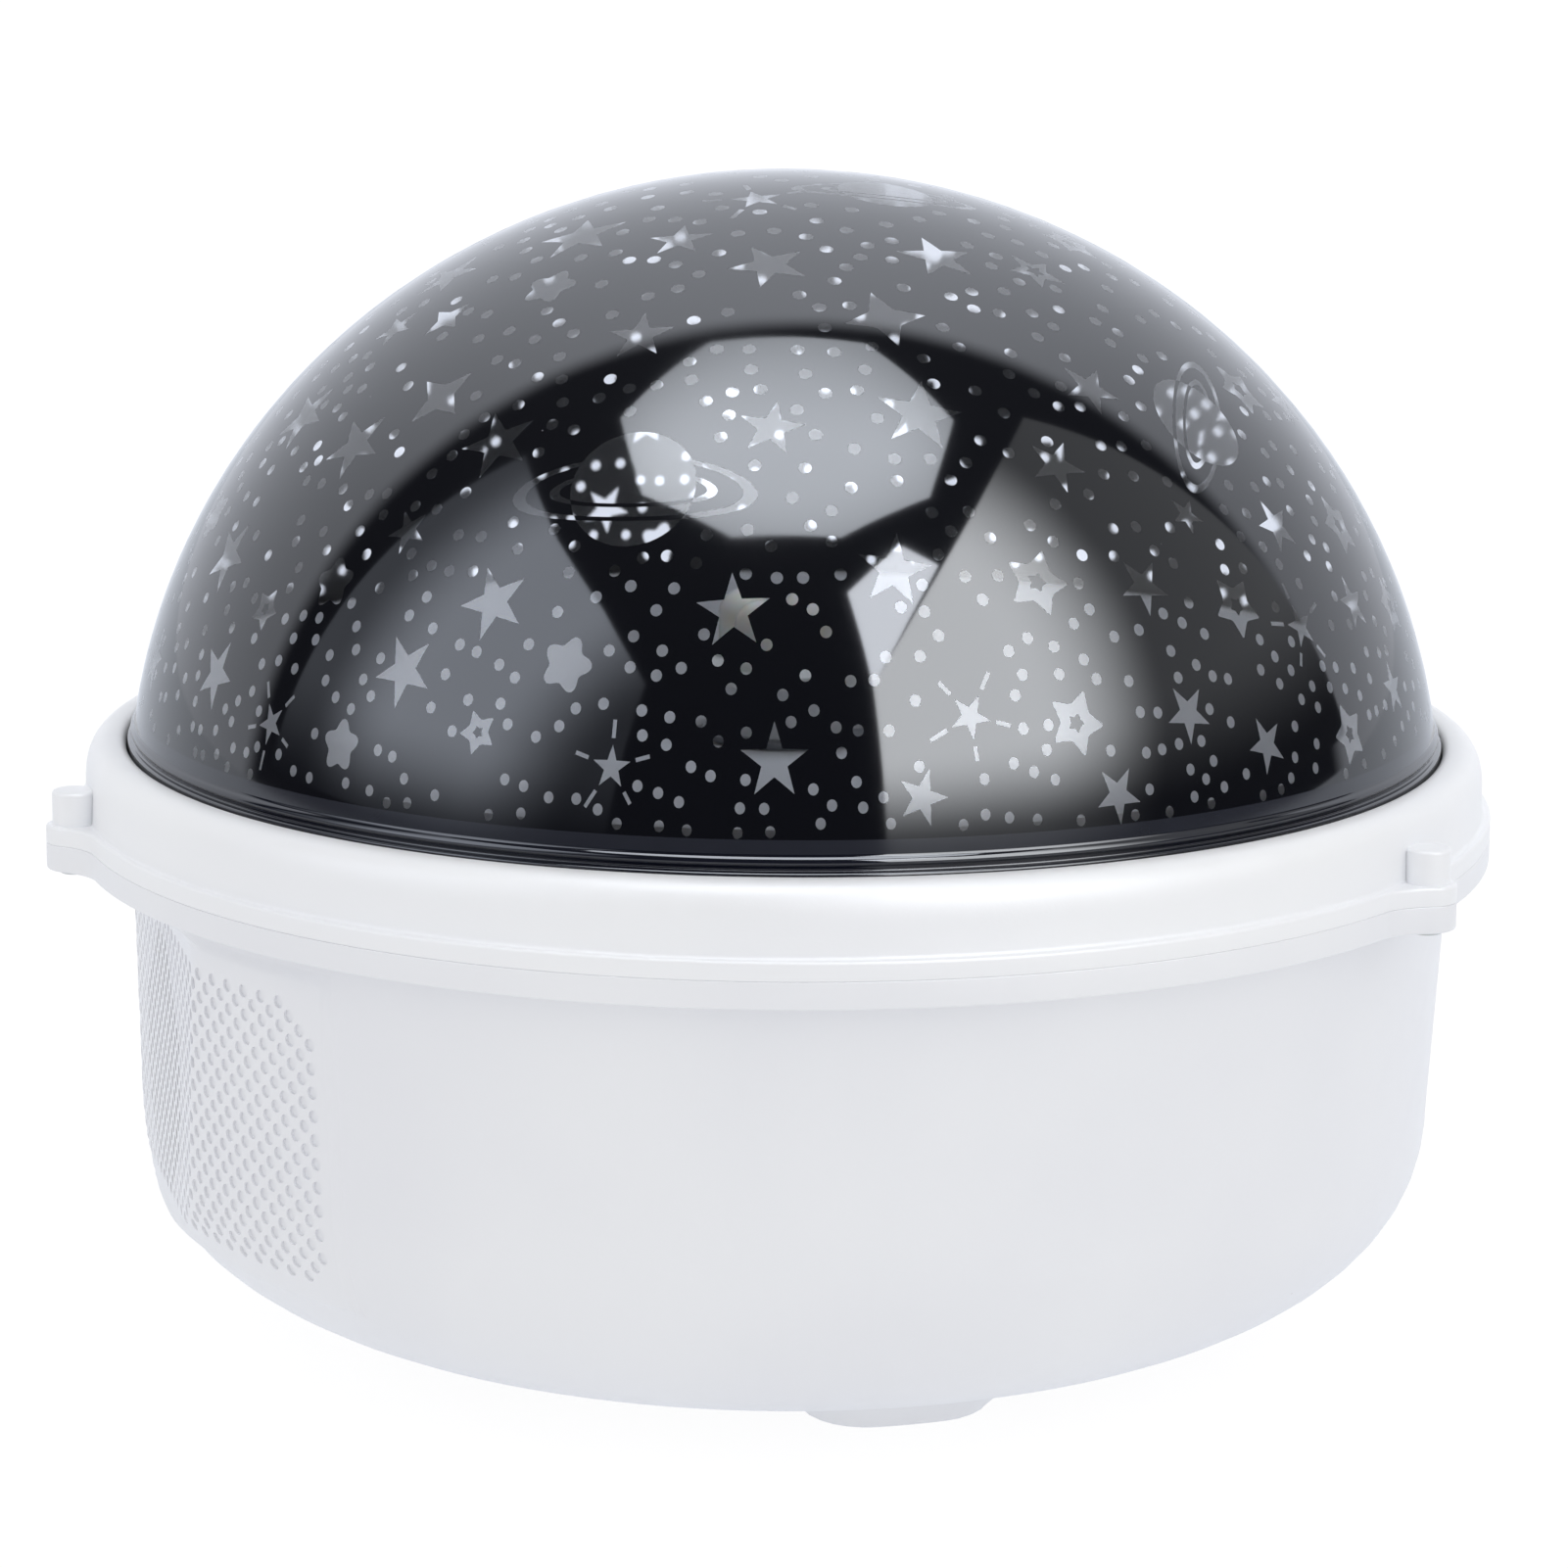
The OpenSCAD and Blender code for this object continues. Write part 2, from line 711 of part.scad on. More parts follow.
module motor_bracket() {
    side = gearbox[0] + 0.1;
    depth = gearbox[1] + 0.1;
    color("whitesmoke") at_motor() difference() {
        union() {
            translate([-side / 2 - 1.2, -depth / 2 - 1.2, gearbox_z + 1])
                cube([side + 2.4, depth + 2.4, gearbox[2] - 1]);
            translate([-motor_screw_at, -2.6, deck_z[0] - 3]) cube([2 * motor_screw_at, 5.2, 3]);
            for (x = [-1, 1]) translate([x * motor_screw_at, 0, 0])
                rod(2.6, deck_z[0] - 3, deck_z[0]);
        }
        translate([-side / 2, -depth / 2, gearbox_z - 1]) cube([side, depth, gearbox[2] + 2]);
        for (x = [-1, 1]) translate([x * motor_screw_at, 0, 0])
            rod(0.8, deck_z[0] - 4, deck_z[0] + 1);
    }
}

module motor_screws() {
    color("silver") at_motor() for (x = [-1, 1])
        translate([x * motor_screw_at, 0, deck_z[1]]) mirror([0, 0, 1])
            pan_screw(0.8, 1.6, 1, 4.5);
}

module motor_shaft() {
    color("silver") at_motor() rod(shaft_r, shaft_z[0], shaft_z[1]);
}

module pinion() {
    color("ivory") at_motor() translate([0, 0, pinion_z[0]])
        linear_extrude(height = pinion_z[1] - pinion_z[0]) difference() {
            rotate([0, 0, 180 / pinion_teeth]) polygon(gear_points(pinion_teeth));
            circle(r = shaft_r);
        }
}

// ---- Speaker ----

module speaker_gasket() {
    color("dimgray") to_speaker()
        tube(gasket_r[0], gasket_r[1], speaker_front, speaker_front + gasket_t);
}

module speaker_frame() {
    plate_z = speaker_front - frame_t;
    color("silver") to_speaker() {
        difference() {
            union() {
                rod(speaker_r, plate_z, speaker_front);
                at_ears() rod(ear_r, plate_z, speaker_front);
            }
            rod(gasket_r[0], plate_z - 1, speaker_front + 1);
            at_ears() rod(1.1, plate_z - 1, speaker_front + 1);
        }
        rotate_extrude() polygon([
            [gasket_r[0], plate_z], [gasket_r[0] + 1, plate_z],
            [magnet_r + 1, basket_back], [6.5, basket_back],
            [6.5, basket_back + 1], [magnet_r + 0.4, basket_back + 1],
        ]);
    }
}

module speaker_cone() {
    front = speaker_front - 0.2;
    color([0.15, 0.15, 0.16]) to_speaker() rotate_extrude() polygon([
        [gasket_r[0], front - 0.8], [gasket_r[0], front], [14.6, front],
        [13.8, front + 0.5], [13, front + 0.1], [12.6, front - 0.4], [6, front - 4.6],
        [4.2, front - 3.4], [2, front - 2.6], [0, front - 2.4], [0, front - 2.9],
        [2, front - 3.1], [4.2, front - 3.9], [5.6, front - 5.2], [12.4, front - 0.9],
    ]);
}

module speaker_magnet() {
    color([0.3, 0.3, 0.32]) to_speaker() {
        rod(magnet_r, basket_back - magnet_t, basket_back);
        rod(magnet_r - 1.5, basket_back - magnet_t - 1.2, basket_back - magnet_t);
        rod(5, basket_back, basket_back + 2.2);
    }
}

module speaker_screws() {
    color("silver") to_speaker() at_ears() translate([0, 0, speaker_front - frame_t])
        pan_screw(1, 2, 1.2, 3.2);
}

// ---- Controls ----

module button_panel() {
    color("white") difference() {
        panel_prism(panel_back_x, panel_x)
            translate([0, panel_z]) round_rect(panel_w, panel_h, panel_corner);
        for (y = [-1, 1], z = [button_low_z, button_high_z])
            to_panel(y * button_y, z)
                rod(button_r + button_play, panel_back_x - 1, panel_x + 1);
        to_panel(0, indicator_z) rod(indicator_r, panel_back_x - 1, panel_x + 1);
        panel_prism(panel_back_x - 1, panel_x + 1)
            translate([0, usb_z]) round_rect(usb_w + 0.3, usb_h + 0.3, 1.6);
    }
}

// One button: its cap, the flange behind the panel and the stem in its switch
module button(y, z) {
    flange_x = panel_back_x - 0.1 - button_flange_t;
    cap_x = panel_x + button_proud;
    to_panel(y, z) {
        rod(button_flange_r, flange_x, flange_x + button_flange_t);
        rod(button_r, flange_x + button_flange_t, cap_x - 0.4);
        translate([0, 0, cap_x - 0.4]) cylinder(r1 = button_r, r2 = button_r - 0.4, h = 0.4);
        rod(stem_r, stem_x, flange_x);
    }
}

module button_power() {
    color("lightgrey") button(-button_y, button_high_z);
}

module button_light() {
    color("lightgrey") button(button_y, button_high_z);
}

module button_music() {
    color("lightgrey") button(-button_y, button_low_z);
}

module button_timer() {
    color("lightgrey") button(button_y, button_low_z);
}

module indicator_lens() {
    color("lightblue") to_panel(0, indicator_z) {
        rod(indicator_r, panel_back_x, panel_x + 0.1);
        rod(indicator_r + 0.6, panel_back_x - 1, panel_back_x);
    }
}

module control_board() {
    color("darkgreen") difference() {
        to_side() translate([board_x[0], -board_w / 2, board_z[0]])
            cube([board_x[1] - board_x[0], board_w, board_z[1] - board_z[0]]);
        at_board_screws() rod(1.1, board_x[0] - 1, board_x[1] + 1);
    }
}

module tact_switches() {
    color("dimgray") for (y = [-1, 1], z = [button_low_z, button_high_z])
        difference() {
            to_side() translate([switch_x[0], y * button_y - switch_w / 2, z - switch_w / 2])
                cube([switch_x[1] - switch_x[0], switch_w, switch_w]);
            to_panel(y * button_y, z)
                rod(stem_r + 0.1, stem_x - button_travel - 0.2, switch_x[1] + 1);
        }
}

module board_parts() {
    color([0.12, 0.12, 0.12]) to_side() {
        translate([board_x[0] - 1.6, -5, 30]) cube([1.6, 10, 8]);
        translate([board_x[0] - 1.2, -14, 26]) cube([1.2, 5, 5]);
        translate([board_x[0] - 3, 8, 21]) cube([3, 6, 6]);
        translate([board_x[0], -9, 20]) rotate([0, -90, 0]) cylinder(r = 2.5, h = 6);
    }
}

module usb_socket() {
    color("silver") difference() {
        panel_prism(board_x[1], usb_front_x) translate([0, usb_z]) round_rect(usb_w, usb_h, 1.5);
        difference() {
            panel_prism(usb_front_x - 6, usb_front_x + 1)
                translate([0, usb_z]) round_rect(usb_w - 0.6, usb_h - 0.6, 1.2);
            panel_prism(usb_front_x - 7, usb_front_x - 0.6)
                translate([0, usb_z]) square([6.7, 0.7], center = true);
        }
    }
}

module board_screws() {
    color("silver") at_board_screws() translate([0, 0, board_x[0]]) pan_screw(1, 2, 1.2, 4);
}

// ---- Battery ----

module along_cell() {
    to_side() translate([cell_x, 0, cell_z]) rotate([90, 0, 0]) children();
}

module battery_cell() {
    color("royalblue") along_cell() {
        rod(cell_r, -cell_len / 2, cell_len / 2);
        rod(2.8, cell_len / 2, cell_len / 2 + 1.2);
    }
}

module battery_holder() {
    color([0.2, 0.2, 0.22]) difference() {
        to_side() translate([cell_x - holder_w / 2, -holder_len / 2, holder_z[0]])
            cube([holder_w, holder_len, holder_z[1] - holder_z[0]]);
        along_cell() rod(cell_r, -cell_len / 2, cell_len / 2 + 1.2);
        to_side() translate([cell_x - cell_r, -cell_len / 2 - 1.2, cell_z - 4])
            cube([2 * cell_r, cell_len + 1.2, 8]);
    }
}

module battery_strap() {
    color("dimgray") intersection() {
        along_cell() tube(cell_r, cell_r + strap_t, -strap_w / 2, strap_w / 2);
        to_side() translate([cell_x - 15, -strap_w, holder_z[1]]) cube([30, 2 * strap_w, 20]);
    }
}

// ---- Assembly ----

lower_bowl();
collar_ring();
case_screws();
star_dome();
turntable();
drive_gear();
thrust_washer();
retaining_ring();
pivot_post();
led_board();
led_lamps();
deck_plate();
deck_screws();
motor_gearbox();
motor_can();
motor_bracket();
motor_screws();
motor_shaft();
pinion();
speaker_gasket();
speaker_frame();
speaker_cone();
speaker_magnet();
speaker_screws();
button_panel();
button_power();
button_light();
button_music();
button_timer();
indicator_lens();
control_board();
tact_switches();
board_parts();
usb_socket();
board_screws();
battery_cell();
battery_holder();
battery_strap();
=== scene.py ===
"""Star projector night light: a white moulded bowl with a speaker and a control panel, a
collar ring screwed onto it, and a dark printed dome that turns over a lamp. Sizes are in
millimetres and directions in degrees around the dome's axis, until a mesh is made."""
import math
import random

import bmesh
import bpy
import numpy as np
from mathutils import Matrix, Vector
from mathutils.geometry import delaunay_2d_cdt


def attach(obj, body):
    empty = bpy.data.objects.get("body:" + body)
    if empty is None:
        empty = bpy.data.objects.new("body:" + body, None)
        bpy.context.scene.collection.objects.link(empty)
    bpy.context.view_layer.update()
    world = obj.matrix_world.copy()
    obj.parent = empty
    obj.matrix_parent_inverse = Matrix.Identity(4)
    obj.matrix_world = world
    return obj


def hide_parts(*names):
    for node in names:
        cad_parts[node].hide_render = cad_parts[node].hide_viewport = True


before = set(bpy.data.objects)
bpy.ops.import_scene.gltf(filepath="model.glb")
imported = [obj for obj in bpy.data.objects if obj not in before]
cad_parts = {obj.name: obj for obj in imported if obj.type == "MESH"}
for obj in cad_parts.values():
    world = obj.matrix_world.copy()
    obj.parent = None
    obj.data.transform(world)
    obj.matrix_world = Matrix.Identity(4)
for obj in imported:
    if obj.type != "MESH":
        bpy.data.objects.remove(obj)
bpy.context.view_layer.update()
bpy.context.scene.view_settings.view_transform = "Standard"


# ------------------------------------------------------------------ Lower bowl
# The bowl is one injection moulding in cool white plastic with a fine matt skin. It has
# the flange with three screw lugs, four feet, the raised speaker field with its holes and
# the pocket of the control panel. Bosses and pillars inside carry all that is built in.

MM = 0.001


def srgb(*levels):
    """The linear colour of three levels from 0 to 255."""
    linear = [v / 12.92 if v <= 0.04 else ((v + 0.055) / 1.055) ** 2.4
              for v in (level / 255 for level in levels)]
    return (*linear, 1.0)


class Finish:
    """One surface that is built up in layers, in the piece's own space."""

    def __init__(self, name, colour, rough, metal=0.0, ior=1.46):
        self.material = bpy.data.materials.new(name)
        self.material.use_nodes = True
        self.tree = self.material.node_tree
        self.shader = self.tree.nodes["Principled BSDF"]
        self.shader.inputs["Base Color"].default_value = colour
        self.shader.inputs["Roughness"].default_value = rough
        self.shader.inputs["Metallic"].default_value = metal
        self.shader.inputs["IOR"].default_value = ior
        self.place = self.add("ShaderNodeTexCoord").outputs["Object"]

    def add(self, kind, **inputs):
        """A node with its named inputs set to values or joined to other nodes."""
        node = self.tree.nodes.new(kind)
        for key, value in inputs.items():
            entry = node.inputs[key.replace("_", " ")]
            if isinstance(value, bpy.types.NodeSocket):
                self.tree.links.new(value, entry)
            else:
                entry.default_value = value
        return node

    def between(self, value, low, high):
        """A mask that rises from 0 at one level of a value to 1 at another."""
        node = self.add("ShaderNodeMapRange", Value=value, From_Min=low, From_Max=high)
        return node.outputs["Result"]

    def clouds(self, size, low=0.35, high=0.65, detail=2.0, stretch=(1, 1, 1)):
        """A mask of soft patches of a size in mm."""
        spread = self.add("ShaderNodeMapping", Vector=self.place, Scale=stretch)
        noise = self.add("ShaderNodeTexNoise", Vector=spread.outputs["Vector"],
                         Scale=1 / (size * MM), Detail=detail)
        return self.between(noise.outputs["Fac"], low, high)

    def specks(self, spacing, radius, share):
        """A mask of small round specks, in a share of cells that are spacing mm apart."""
        cells = self.add("ShaderNodeTexVoronoi", Vector=self.place, Scale=1 / (spacing * MM))
        near = self.between(cells.outputs["Distance"], 1.3 * radius / spacing,
                            0.7 * radius / spacing)
        level = self.add("ShaderNodeSeparateColor", Color=cells.outputs["Color"])
        chosen = self.between(level.outputs["Red"], share, share - 0.01)
        both = self.tree.nodes.new("ShaderNodeMath")
        both.operation = "MULTIPLY"
        self.tree.links.new(near, both.inputs[0])
        self.tree.links.new(chosen, both.inputs[1])
        return both.outputs["Value"]

    def layer(self, entry, mask, value, kind):
        """Goes over to another value of a shader input where the mask is 1."""
        target = self.shader.inputs[entry]
        mix = self.tree.nodes.new("ShaderNodeMix")
        mix.data_type = kind
        first, second = [s for s in mix.inputs if s.enabled and s.name in ("A", "B")]
        result = next(s for s in mix.outputs if s.enabled)
        if target.is_linked:
            self.tree.links.new(target.links[0].from_socket, first)
        else:
            first.default_value = target.default_value
        second.default_value = value
        self.tree.links.new(mask, mix.inputs["Factor"])
        self.tree.links.new(result, target)
        return self

    def tint(self, mask, colour):
        return self.layer("Base Color", mask, colour, "RGBA")

    def polish(self, mask, rough):
        return self.layer("Roughness", mask, rough, "FLOAT")

    def relief(self, mask, height):
        """Raises the surface by a height in mm where the mask is 1."""
        bump = self.add("ShaderNodeBump", Height=mask, Strength=1.0, Distance=height * MM)
        target = self.shader.inputs["Normal"]
        if target.is_linked:
            self.tree.links.new(target.links[0].from_socket, bump.inputs["Normal"])
        self.tree.links.new(bump.outputs["Normal"], target)
        return self


class Moulding:
    """The points, in mm, and the faces of one piece while it is built."""

    def __init__(self):
        self.points = []
        self.faces = []
        self.slots = []

    def add(self, points, faces, slot=0):
        first = len(self.points)
        self.points.extend(tuple(map(float, point)) for point in points)
        self.faces.extend(tuple(first + i for i in face) for face in faces)
        self.slots.extend([slot] * len(faces))

    def join(self, rings, slot=0):
        """Walls between closed rings of equal length, from each ring to the next."""
        n = len(rings[0])
        faces = [(k * n + i, k * n + (i + 1) % n, (k + 1) * n + (i + 1) % n, (k + 1) * n + i)
                 for k in range(len(rings) - 1) for i in range(n)]
        self.add([point for ring in rings for point in ring], faces, slot)

    def close(self, ring, slot=0):
        self.add(ring, [range(len(ring))], slot)

    def turn(self, outline, place, steps=32, slot=0):
        """A turned form: an outline of radii and heights around an axis that place sets."""
        around = np.radians(np.arange(steps) * 360 / steps)
        self.join([[place(r * c, r * s, h) for c, s in zip(np.cos(around), np.sin(around))]
                   for r, h in outline], slot)

    def sheet(self, edge, loops, spots, place, slot_of):
        """Fills a flat outline along its inner loops, then places it. slot_of gives the
        material of the part that lies inside certain loops, or None for an opening."""
        outlines = [edge, *loops]
        flat = [Vector(point) for outline in outlines for point in outline]
        flat += [Vector(point) for point in spots]
        ends = np.cumsum([0] + [len(outline) for outline in outlines])
        rings = [list(range(a, b)) for a, b in zip(ends[:-1], ends[1:])]
        for ring, outline in zip(rings, outlines):
            if sum(x0 * y1 - x1 * y0 for (x0, y0), (x1, y1)
                   in zip(outline, [*outline[1:], outline[0]])) < 0:
                ring.reverse()
        found = delaunay_2d_cdt(flat, [], rings, 1, 1e-6, True)
        points = place(np.array([tuple(point) for point in found[0]]))
        by_slot = {}
        for face, owners in zip(found[2], found[5]):
            slot = slot_of([n - 1 for n in owners if n])
            if 0 in owners and slot is not None:
                by_slot.setdefault(slot, []).append(face)
        for slot, faces in sorted(by_slot.items()):
            self.add(points, faces, slot)

    def piece(self, name, materials, crease=35, surface=None):
        """The finished object. surface gives the exact normals of a curved face's points,
        so that its gloss doesn't show the triangles."""
        mesh = bpy.data.meshes.new(name)
        mesh.from_pydata([tuple(c * MM for c in point) for point in self.points], [], self.faces)
        mesh.polygons.foreach_set("material_index", self.slots)
        for material in materials:
            mesh.materials.append(material)
        work = bmesh.new()
        work.from_mesh(mesh)
        bmesh.ops.remove_doubles(work, verts=work.verts, dist=0.002 * MM)
        loose = [v for v in work.verts if not v.link_faces]
        bmesh.ops.delete(work, geom=loose, context="VERTS")
        bmesh.ops.recalc_face_normals(work, faces=work.faces)
        work.to_mesh(mesh)
        work.free()
        mesh.polygons.foreach_set("use_smooth", [True] * len(mesh.polygons))
        mesh.set_sharp_from_angle(angle=math.radians(crease))
        if surface:
            self.set_normals(mesh, surface)
        piece = bpy.data.objects.new(name, mesh)
        bpy.context.scene.collection.objects.link(piece)
        return piece

    @staticmethod
    def set_normals(mesh, surface):
        points = np.empty(len(mesh.vertices) * 3, np.float32)
        mesh.vertices.foreach_get("co", points)
        at = np.empty(len(mesh.loops), np.int32)
        mesh.loops.foreach_get("vertex_index", at)
        normals = np.empty(len(mesh.loops) * 3, np.float32)
        mesh.corner_normals.foreach_get("vector", normals)
        normals = normals.reshape(-1, 3)
        exact = surface(points.reshape(-1, 3) / MM)[at]
        near = (normals * exact).sum(1) > 0.95
        normals[near] = exact[near]
        mesh.normals_split_custom_set(normals.tolist())


def upright(x=0.0, y=0.0):
    """Places a turned form on an upright axis. A height of None is in the bowl's floor."""
    def place(a, b, h):
        if h is None:
            r = math.hypot(x + a, y + b)
            h = float(np.interp(r, section_r[::-1], section_z[::-1])) + wall / 2
        return (x + a, y + b, h)
    return place


def outwards(direction, across, height):
    """Places a form on a level axis that points away from the dome's axis. A distance of
    None is in the bowl's wall."""
    c, s = math.cos(math.radians(direction)), math.sin(math.radians(direction))

    def place(a, b, h):
        if h is None:
            r = float(np.interp(-(height + b), -section_z, section_r)) - wall / 2
            h = math.sqrt(r * r - (across + a) ** 2)
            if direction == speaker_turn:
                h = min(h, facet_x - wall / 2)
        return (h * c - (across + a) * s, h * s + (across + a) * c, height + b)
    return place


def polar(radius, direction):
    turn = math.radians(direction)
    return radius * math.cos(turn), radius * math.sin(turn)


def white_plastic(name, colour, shade):
    """Injection moulded plastic: a matt skin with faint flow marks and a few dust specks."""
    skin = Finish(name, colour, 0.38)
    skin.tint(skin.clouds(34, 0.4, 0.7), shade)
    skin.tint(skin.specks(9, 0.08, 0.4), srgb(176, 172, 166))
    skin.polish(skin.clouds(2.5), 0.46)
    skin.relief(skin.clouds(0.3, 0.2, 0.8), 0.004)
    skin.relief(skin.clouds(14, 0.2, 0.8), 0.03)
    return skin.material


bowl_white = white_plastic("bowl_white", srgb(236, 237, 240), srgb(232, 233, 237))

flange_r = 70.0
flange_low_z = 47.9
parting_z = 50.5
flange_edge = 0.3
parting_edge = 0.12
bowl_top_r = 66.14
knee_r, knee_z = 64.65, 22.64
floor_r, floor_z = 32.6, 1.85
corner_n = 2.26
wall = 2.2
side_turn = 14
speaker_turn = side_turn + 180

lug_at = 70.7
lug_dirs = (194, 328, 60)
lug_nose_r = 2.75
lug_blend_r = 7.0
lug_far = flange_r + lug_blend_r - 0.05
lug_near = lug_nose_r + lug_blend_r
lug_turn = math.acos((lug_at ** 2 + lug_far ** 2 - lug_near ** 2) / (2 * lug_at * lug_far))
lug_meet = (lug_at + lug_nose_r / lug_near * (lug_far * math.cos(lug_turn) - lug_at),
            lug_nose_r / lug_near * lug_far * math.sin(lug_turn))
lug_joint = math.atan2(lug_meet[1], lug_meet[0])
seam = -270
ring_angles = sorted(
    {round(seam + 1.5 * k, 3) for k in range(240)}
    | {round((lug + 0.25 * k - seam) % 360 + seam, 3) for lug in lug_dirs for k in range(-26, 27)})


def flange_edge_r(direction, inset=0.0):
    """Radius of the flange's outer edge, with its lugs."""
    off = math.radians(min(abs((direction - lug + 180) % 360 - 180) for lug in lug_dirs))
    if off < lug_joint:
        nose = math.sqrt(lug_nose_r ** 2 - (lug_at * math.sin(off)) ** 2)
        return lug_at * math.cos(off) + nose - inset
    if off < lug_turn:
        hollow = lug_blend_r ** 2 - (lug_far * math.sin(lug_turn - off)) ** 2
        reach = lug_far * math.cos(lug_turn - off) - math.sqrt(max(0.0, hollow))
        return max(flange_r, reach) - inset
    return flange_r - inset


def round_ring(radius, z):
    return [(*polar(radius, a), z) for a in ring_angles]


def flange_ring(inset, z):
    return [(*polar(flange_edge_r(a, inset), a), z) for a in ring_angles]


# Outside of the bowl, by the distance along its section from the flange down
corner_turns = np.linspace(0, math.pi / 2, 240)
section_r = np.concatenate([np.linspace(bowl_top_r, knee_r, 60)[:-1],
                             floor_r + (knee_r - floor_r) * np.cos(corner_turns) ** (2 / corner_n)])
section_z = np.concatenate([np.linspace(flange_low_z, knee_z, 60)[:-1],
                             knee_z - (knee_z - floor_z) * np.sin(corner_turns) ** (2 / corner_n)])
section_steps = np.hypot(np.diff(section_r), np.diff(section_z))
section_s = np.concatenate([[0], np.cumsum(section_steps)])
normal_r = -np.gradient(section_z, section_s)
normal_z = np.gradient(section_r, section_s)
section_len = section_s[-1]
az_scale = math.radians(bowl_top_r)


def along_section(z):
    return float(np.interp(-z, -section_z, section_s))


# The speaker field is raised a little, and its middle is cut flat
field_half = 37.8 * az_scale
field_mid = (speaker_turn - 360) * az_scale
field_s = (along_section(46.2), along_section(12.4))
field_rise = 0.4
slope_w = 1.4
facet_x = 62.45


def field_inset(x, s):
    """Distance from the border of the speaker field, inwards."""
    return np.minimum(field_half - abs(x - field_mid),
                      np.minimum(s - field_s[0], field_s[1] - s))


def bowl_wall(flat, depth=0.0, raised=True):
    """Points on the wall or at a depth under it, from the flat sheet."""
    x, s = flat[:, 0], flat[:, 1]
    r, z, nr, nz = (np.interp(s, section_s, values)
                    for values in (section_r, section_z, normal_r, normal_z))
    t = np.clip(field_inset(x, s) / slope_w, 0, 1)
    t = t * t * (3 - 2 * t)
    out = raised * field_rise * t - depth
    turn = np.radians(x / az_scale)
    r, z = r + out * nr, z + out * nz
    facet_r = (facet_x - depth) / np.maximum(0.8, np.cos((x - field_mid) / bowl_top_r))
    r = r + np.minimum(0, facet_r - r) * t
    return np.stack([r * np.cos(turn), r * np.sin(turn), z], 1)


def wall_normals(points):
    """Outward direction of the bowl's wall, or zero off the wall."""
    r = np.hypot(points[:, 0], points[:, 1])
    s = np.interp(-points[:, 2], -section_z, section_s)
    nr, nz = np.interp(s, section_s, normal_r), np.interp(s, section_s, normal_z)
    length = np.hypot(nr, nz)
    on = abs(np.interp(s, section_s, section_r) - r) < 0.01
    on &= (points[:, 2] < flange_low_z - 0.01) & (points[:, 2] > floor_z + 0.01)
    return np.stack([nr * points[:, 0] / r, nr * points[:, 1] / r, nz], 1) \
        * (on / length)[:, None]


def box_loop(x_low, x_high, s_low, s_high, step=3.0):
    """A rectangle in the flat sheet with points along its sides."""
    corners = [(x_low, s_low), (x_high, s_low), (x_high, s_high), (x_low, s_high)]
    loop = []
    for (xa, sa), (xb, sb) in zip(corners, corners[1:] + corners[:1]):
        n = max(1, round(math.hypot(xb - xa, sb - sa) / step))
        loop += [(xa + (xb - xa) * i / n, sa + (sb - sa) * i / n) for i in range(n)]
    return loop


def round_rect(width, height, corner, steps=6, side=5):
    """Points of a rectangle with round corners, the same number at any size."""
    bends = []
    for k, (cx, cy) in enumerate(((1, 1), (-1, 1), (-1, -1), (1, -1))):
        x, y = cx * (width / 2 - corner), cy * (height / 2 - corner)
        turns = [math.radians(90 * k + 90 * i / steps) for i in range(steps + 1)]
        bends.append([(x + corner * math.cos(a), y + corner * math.sin(a)) for a in turns])
    points = []
    for bend, following in zip(bends, bends[1:] + bends[:1]):
        (x0, y0), (x1, y1) = bend[-1], following[0]
        points += bend + [(x0 + (x1 - x0) * i / side, y0 + (y1 - y0) * i / side)
                          for i in range(1, side)]
    return points


panel_size = (26.0, 30.0)
panel_corner = 6.0
panel_z = 31.0
panel_back_x = 59.9


def on_wall(y, z):
    """Place in the flat sheet of a point of the wall, seen along the panel's axis."""
    r = float(np.interp(-z, -section_z, section_r))
    return ((side_turn + math.degrees(math.asin(y / r))) * az_scale, along_section(z))


def panel_outline(grow):
    corner = panel_corner + grow
    shape = round_rect(panel_size[0] + 2 * grow, panel_size[1] + 2 * grow, corner)
    return [(y, panel_z + z) for y, z in shape]


def panel_ring(grow, x):
    place = outwards(side_turn, 0, 0)
    return [place(y, z, x) for y, z in panel_outline(grow)]


hole_r = 0.62
hole_step_x = 1.135 * az_scale
hole_step_z = 2.29
hole_mid_z = 27.65
hole_rows = (15.08, 42.6)
hole_half = 35.25 * az_scale
hole_corner = 4.1
hole_reach = 12.6
speaker_z = 28.0
pit_depth = 0.28
side_columns, side_rows = 31, 7


def speaker_holes():
    """Places of the holes in the flat sheet, and whether each opens onto the cone."""
    found = []
    middle = sum(hole_rows) / 2
    for column in range(-side_columns, side_columns + 1):
        for row in range(-side_rows, side_rows + 1):
            x = column * hole_step_x
            z = hole_mid_z + (row + (column + 1) % 2 / 2) * hole_step_z
            out_x = max(0.0, abs(x) - hole_half + hole_corner)
            out_z = max(0.0, abs(z - middle) - (hole_rows[1] - middle) + hole_corner)
            if math.hypot(out_x, out_z) > hole_corner:
                continue
            across = bowl_top_r * math.sin(x / bowl_top_r)
            through = math.hypot(across, z - speaker_z) < hole_reach
            found.append((field_mid + x, along_section(z), through))
    return found


def circle(x, y, radius, steps):
    return [(x + radius * math.cos(2 * math.pi * i / steps),
             y + radius * math.sin(2 * math.pi * i / steps)) for i in range(steps)]


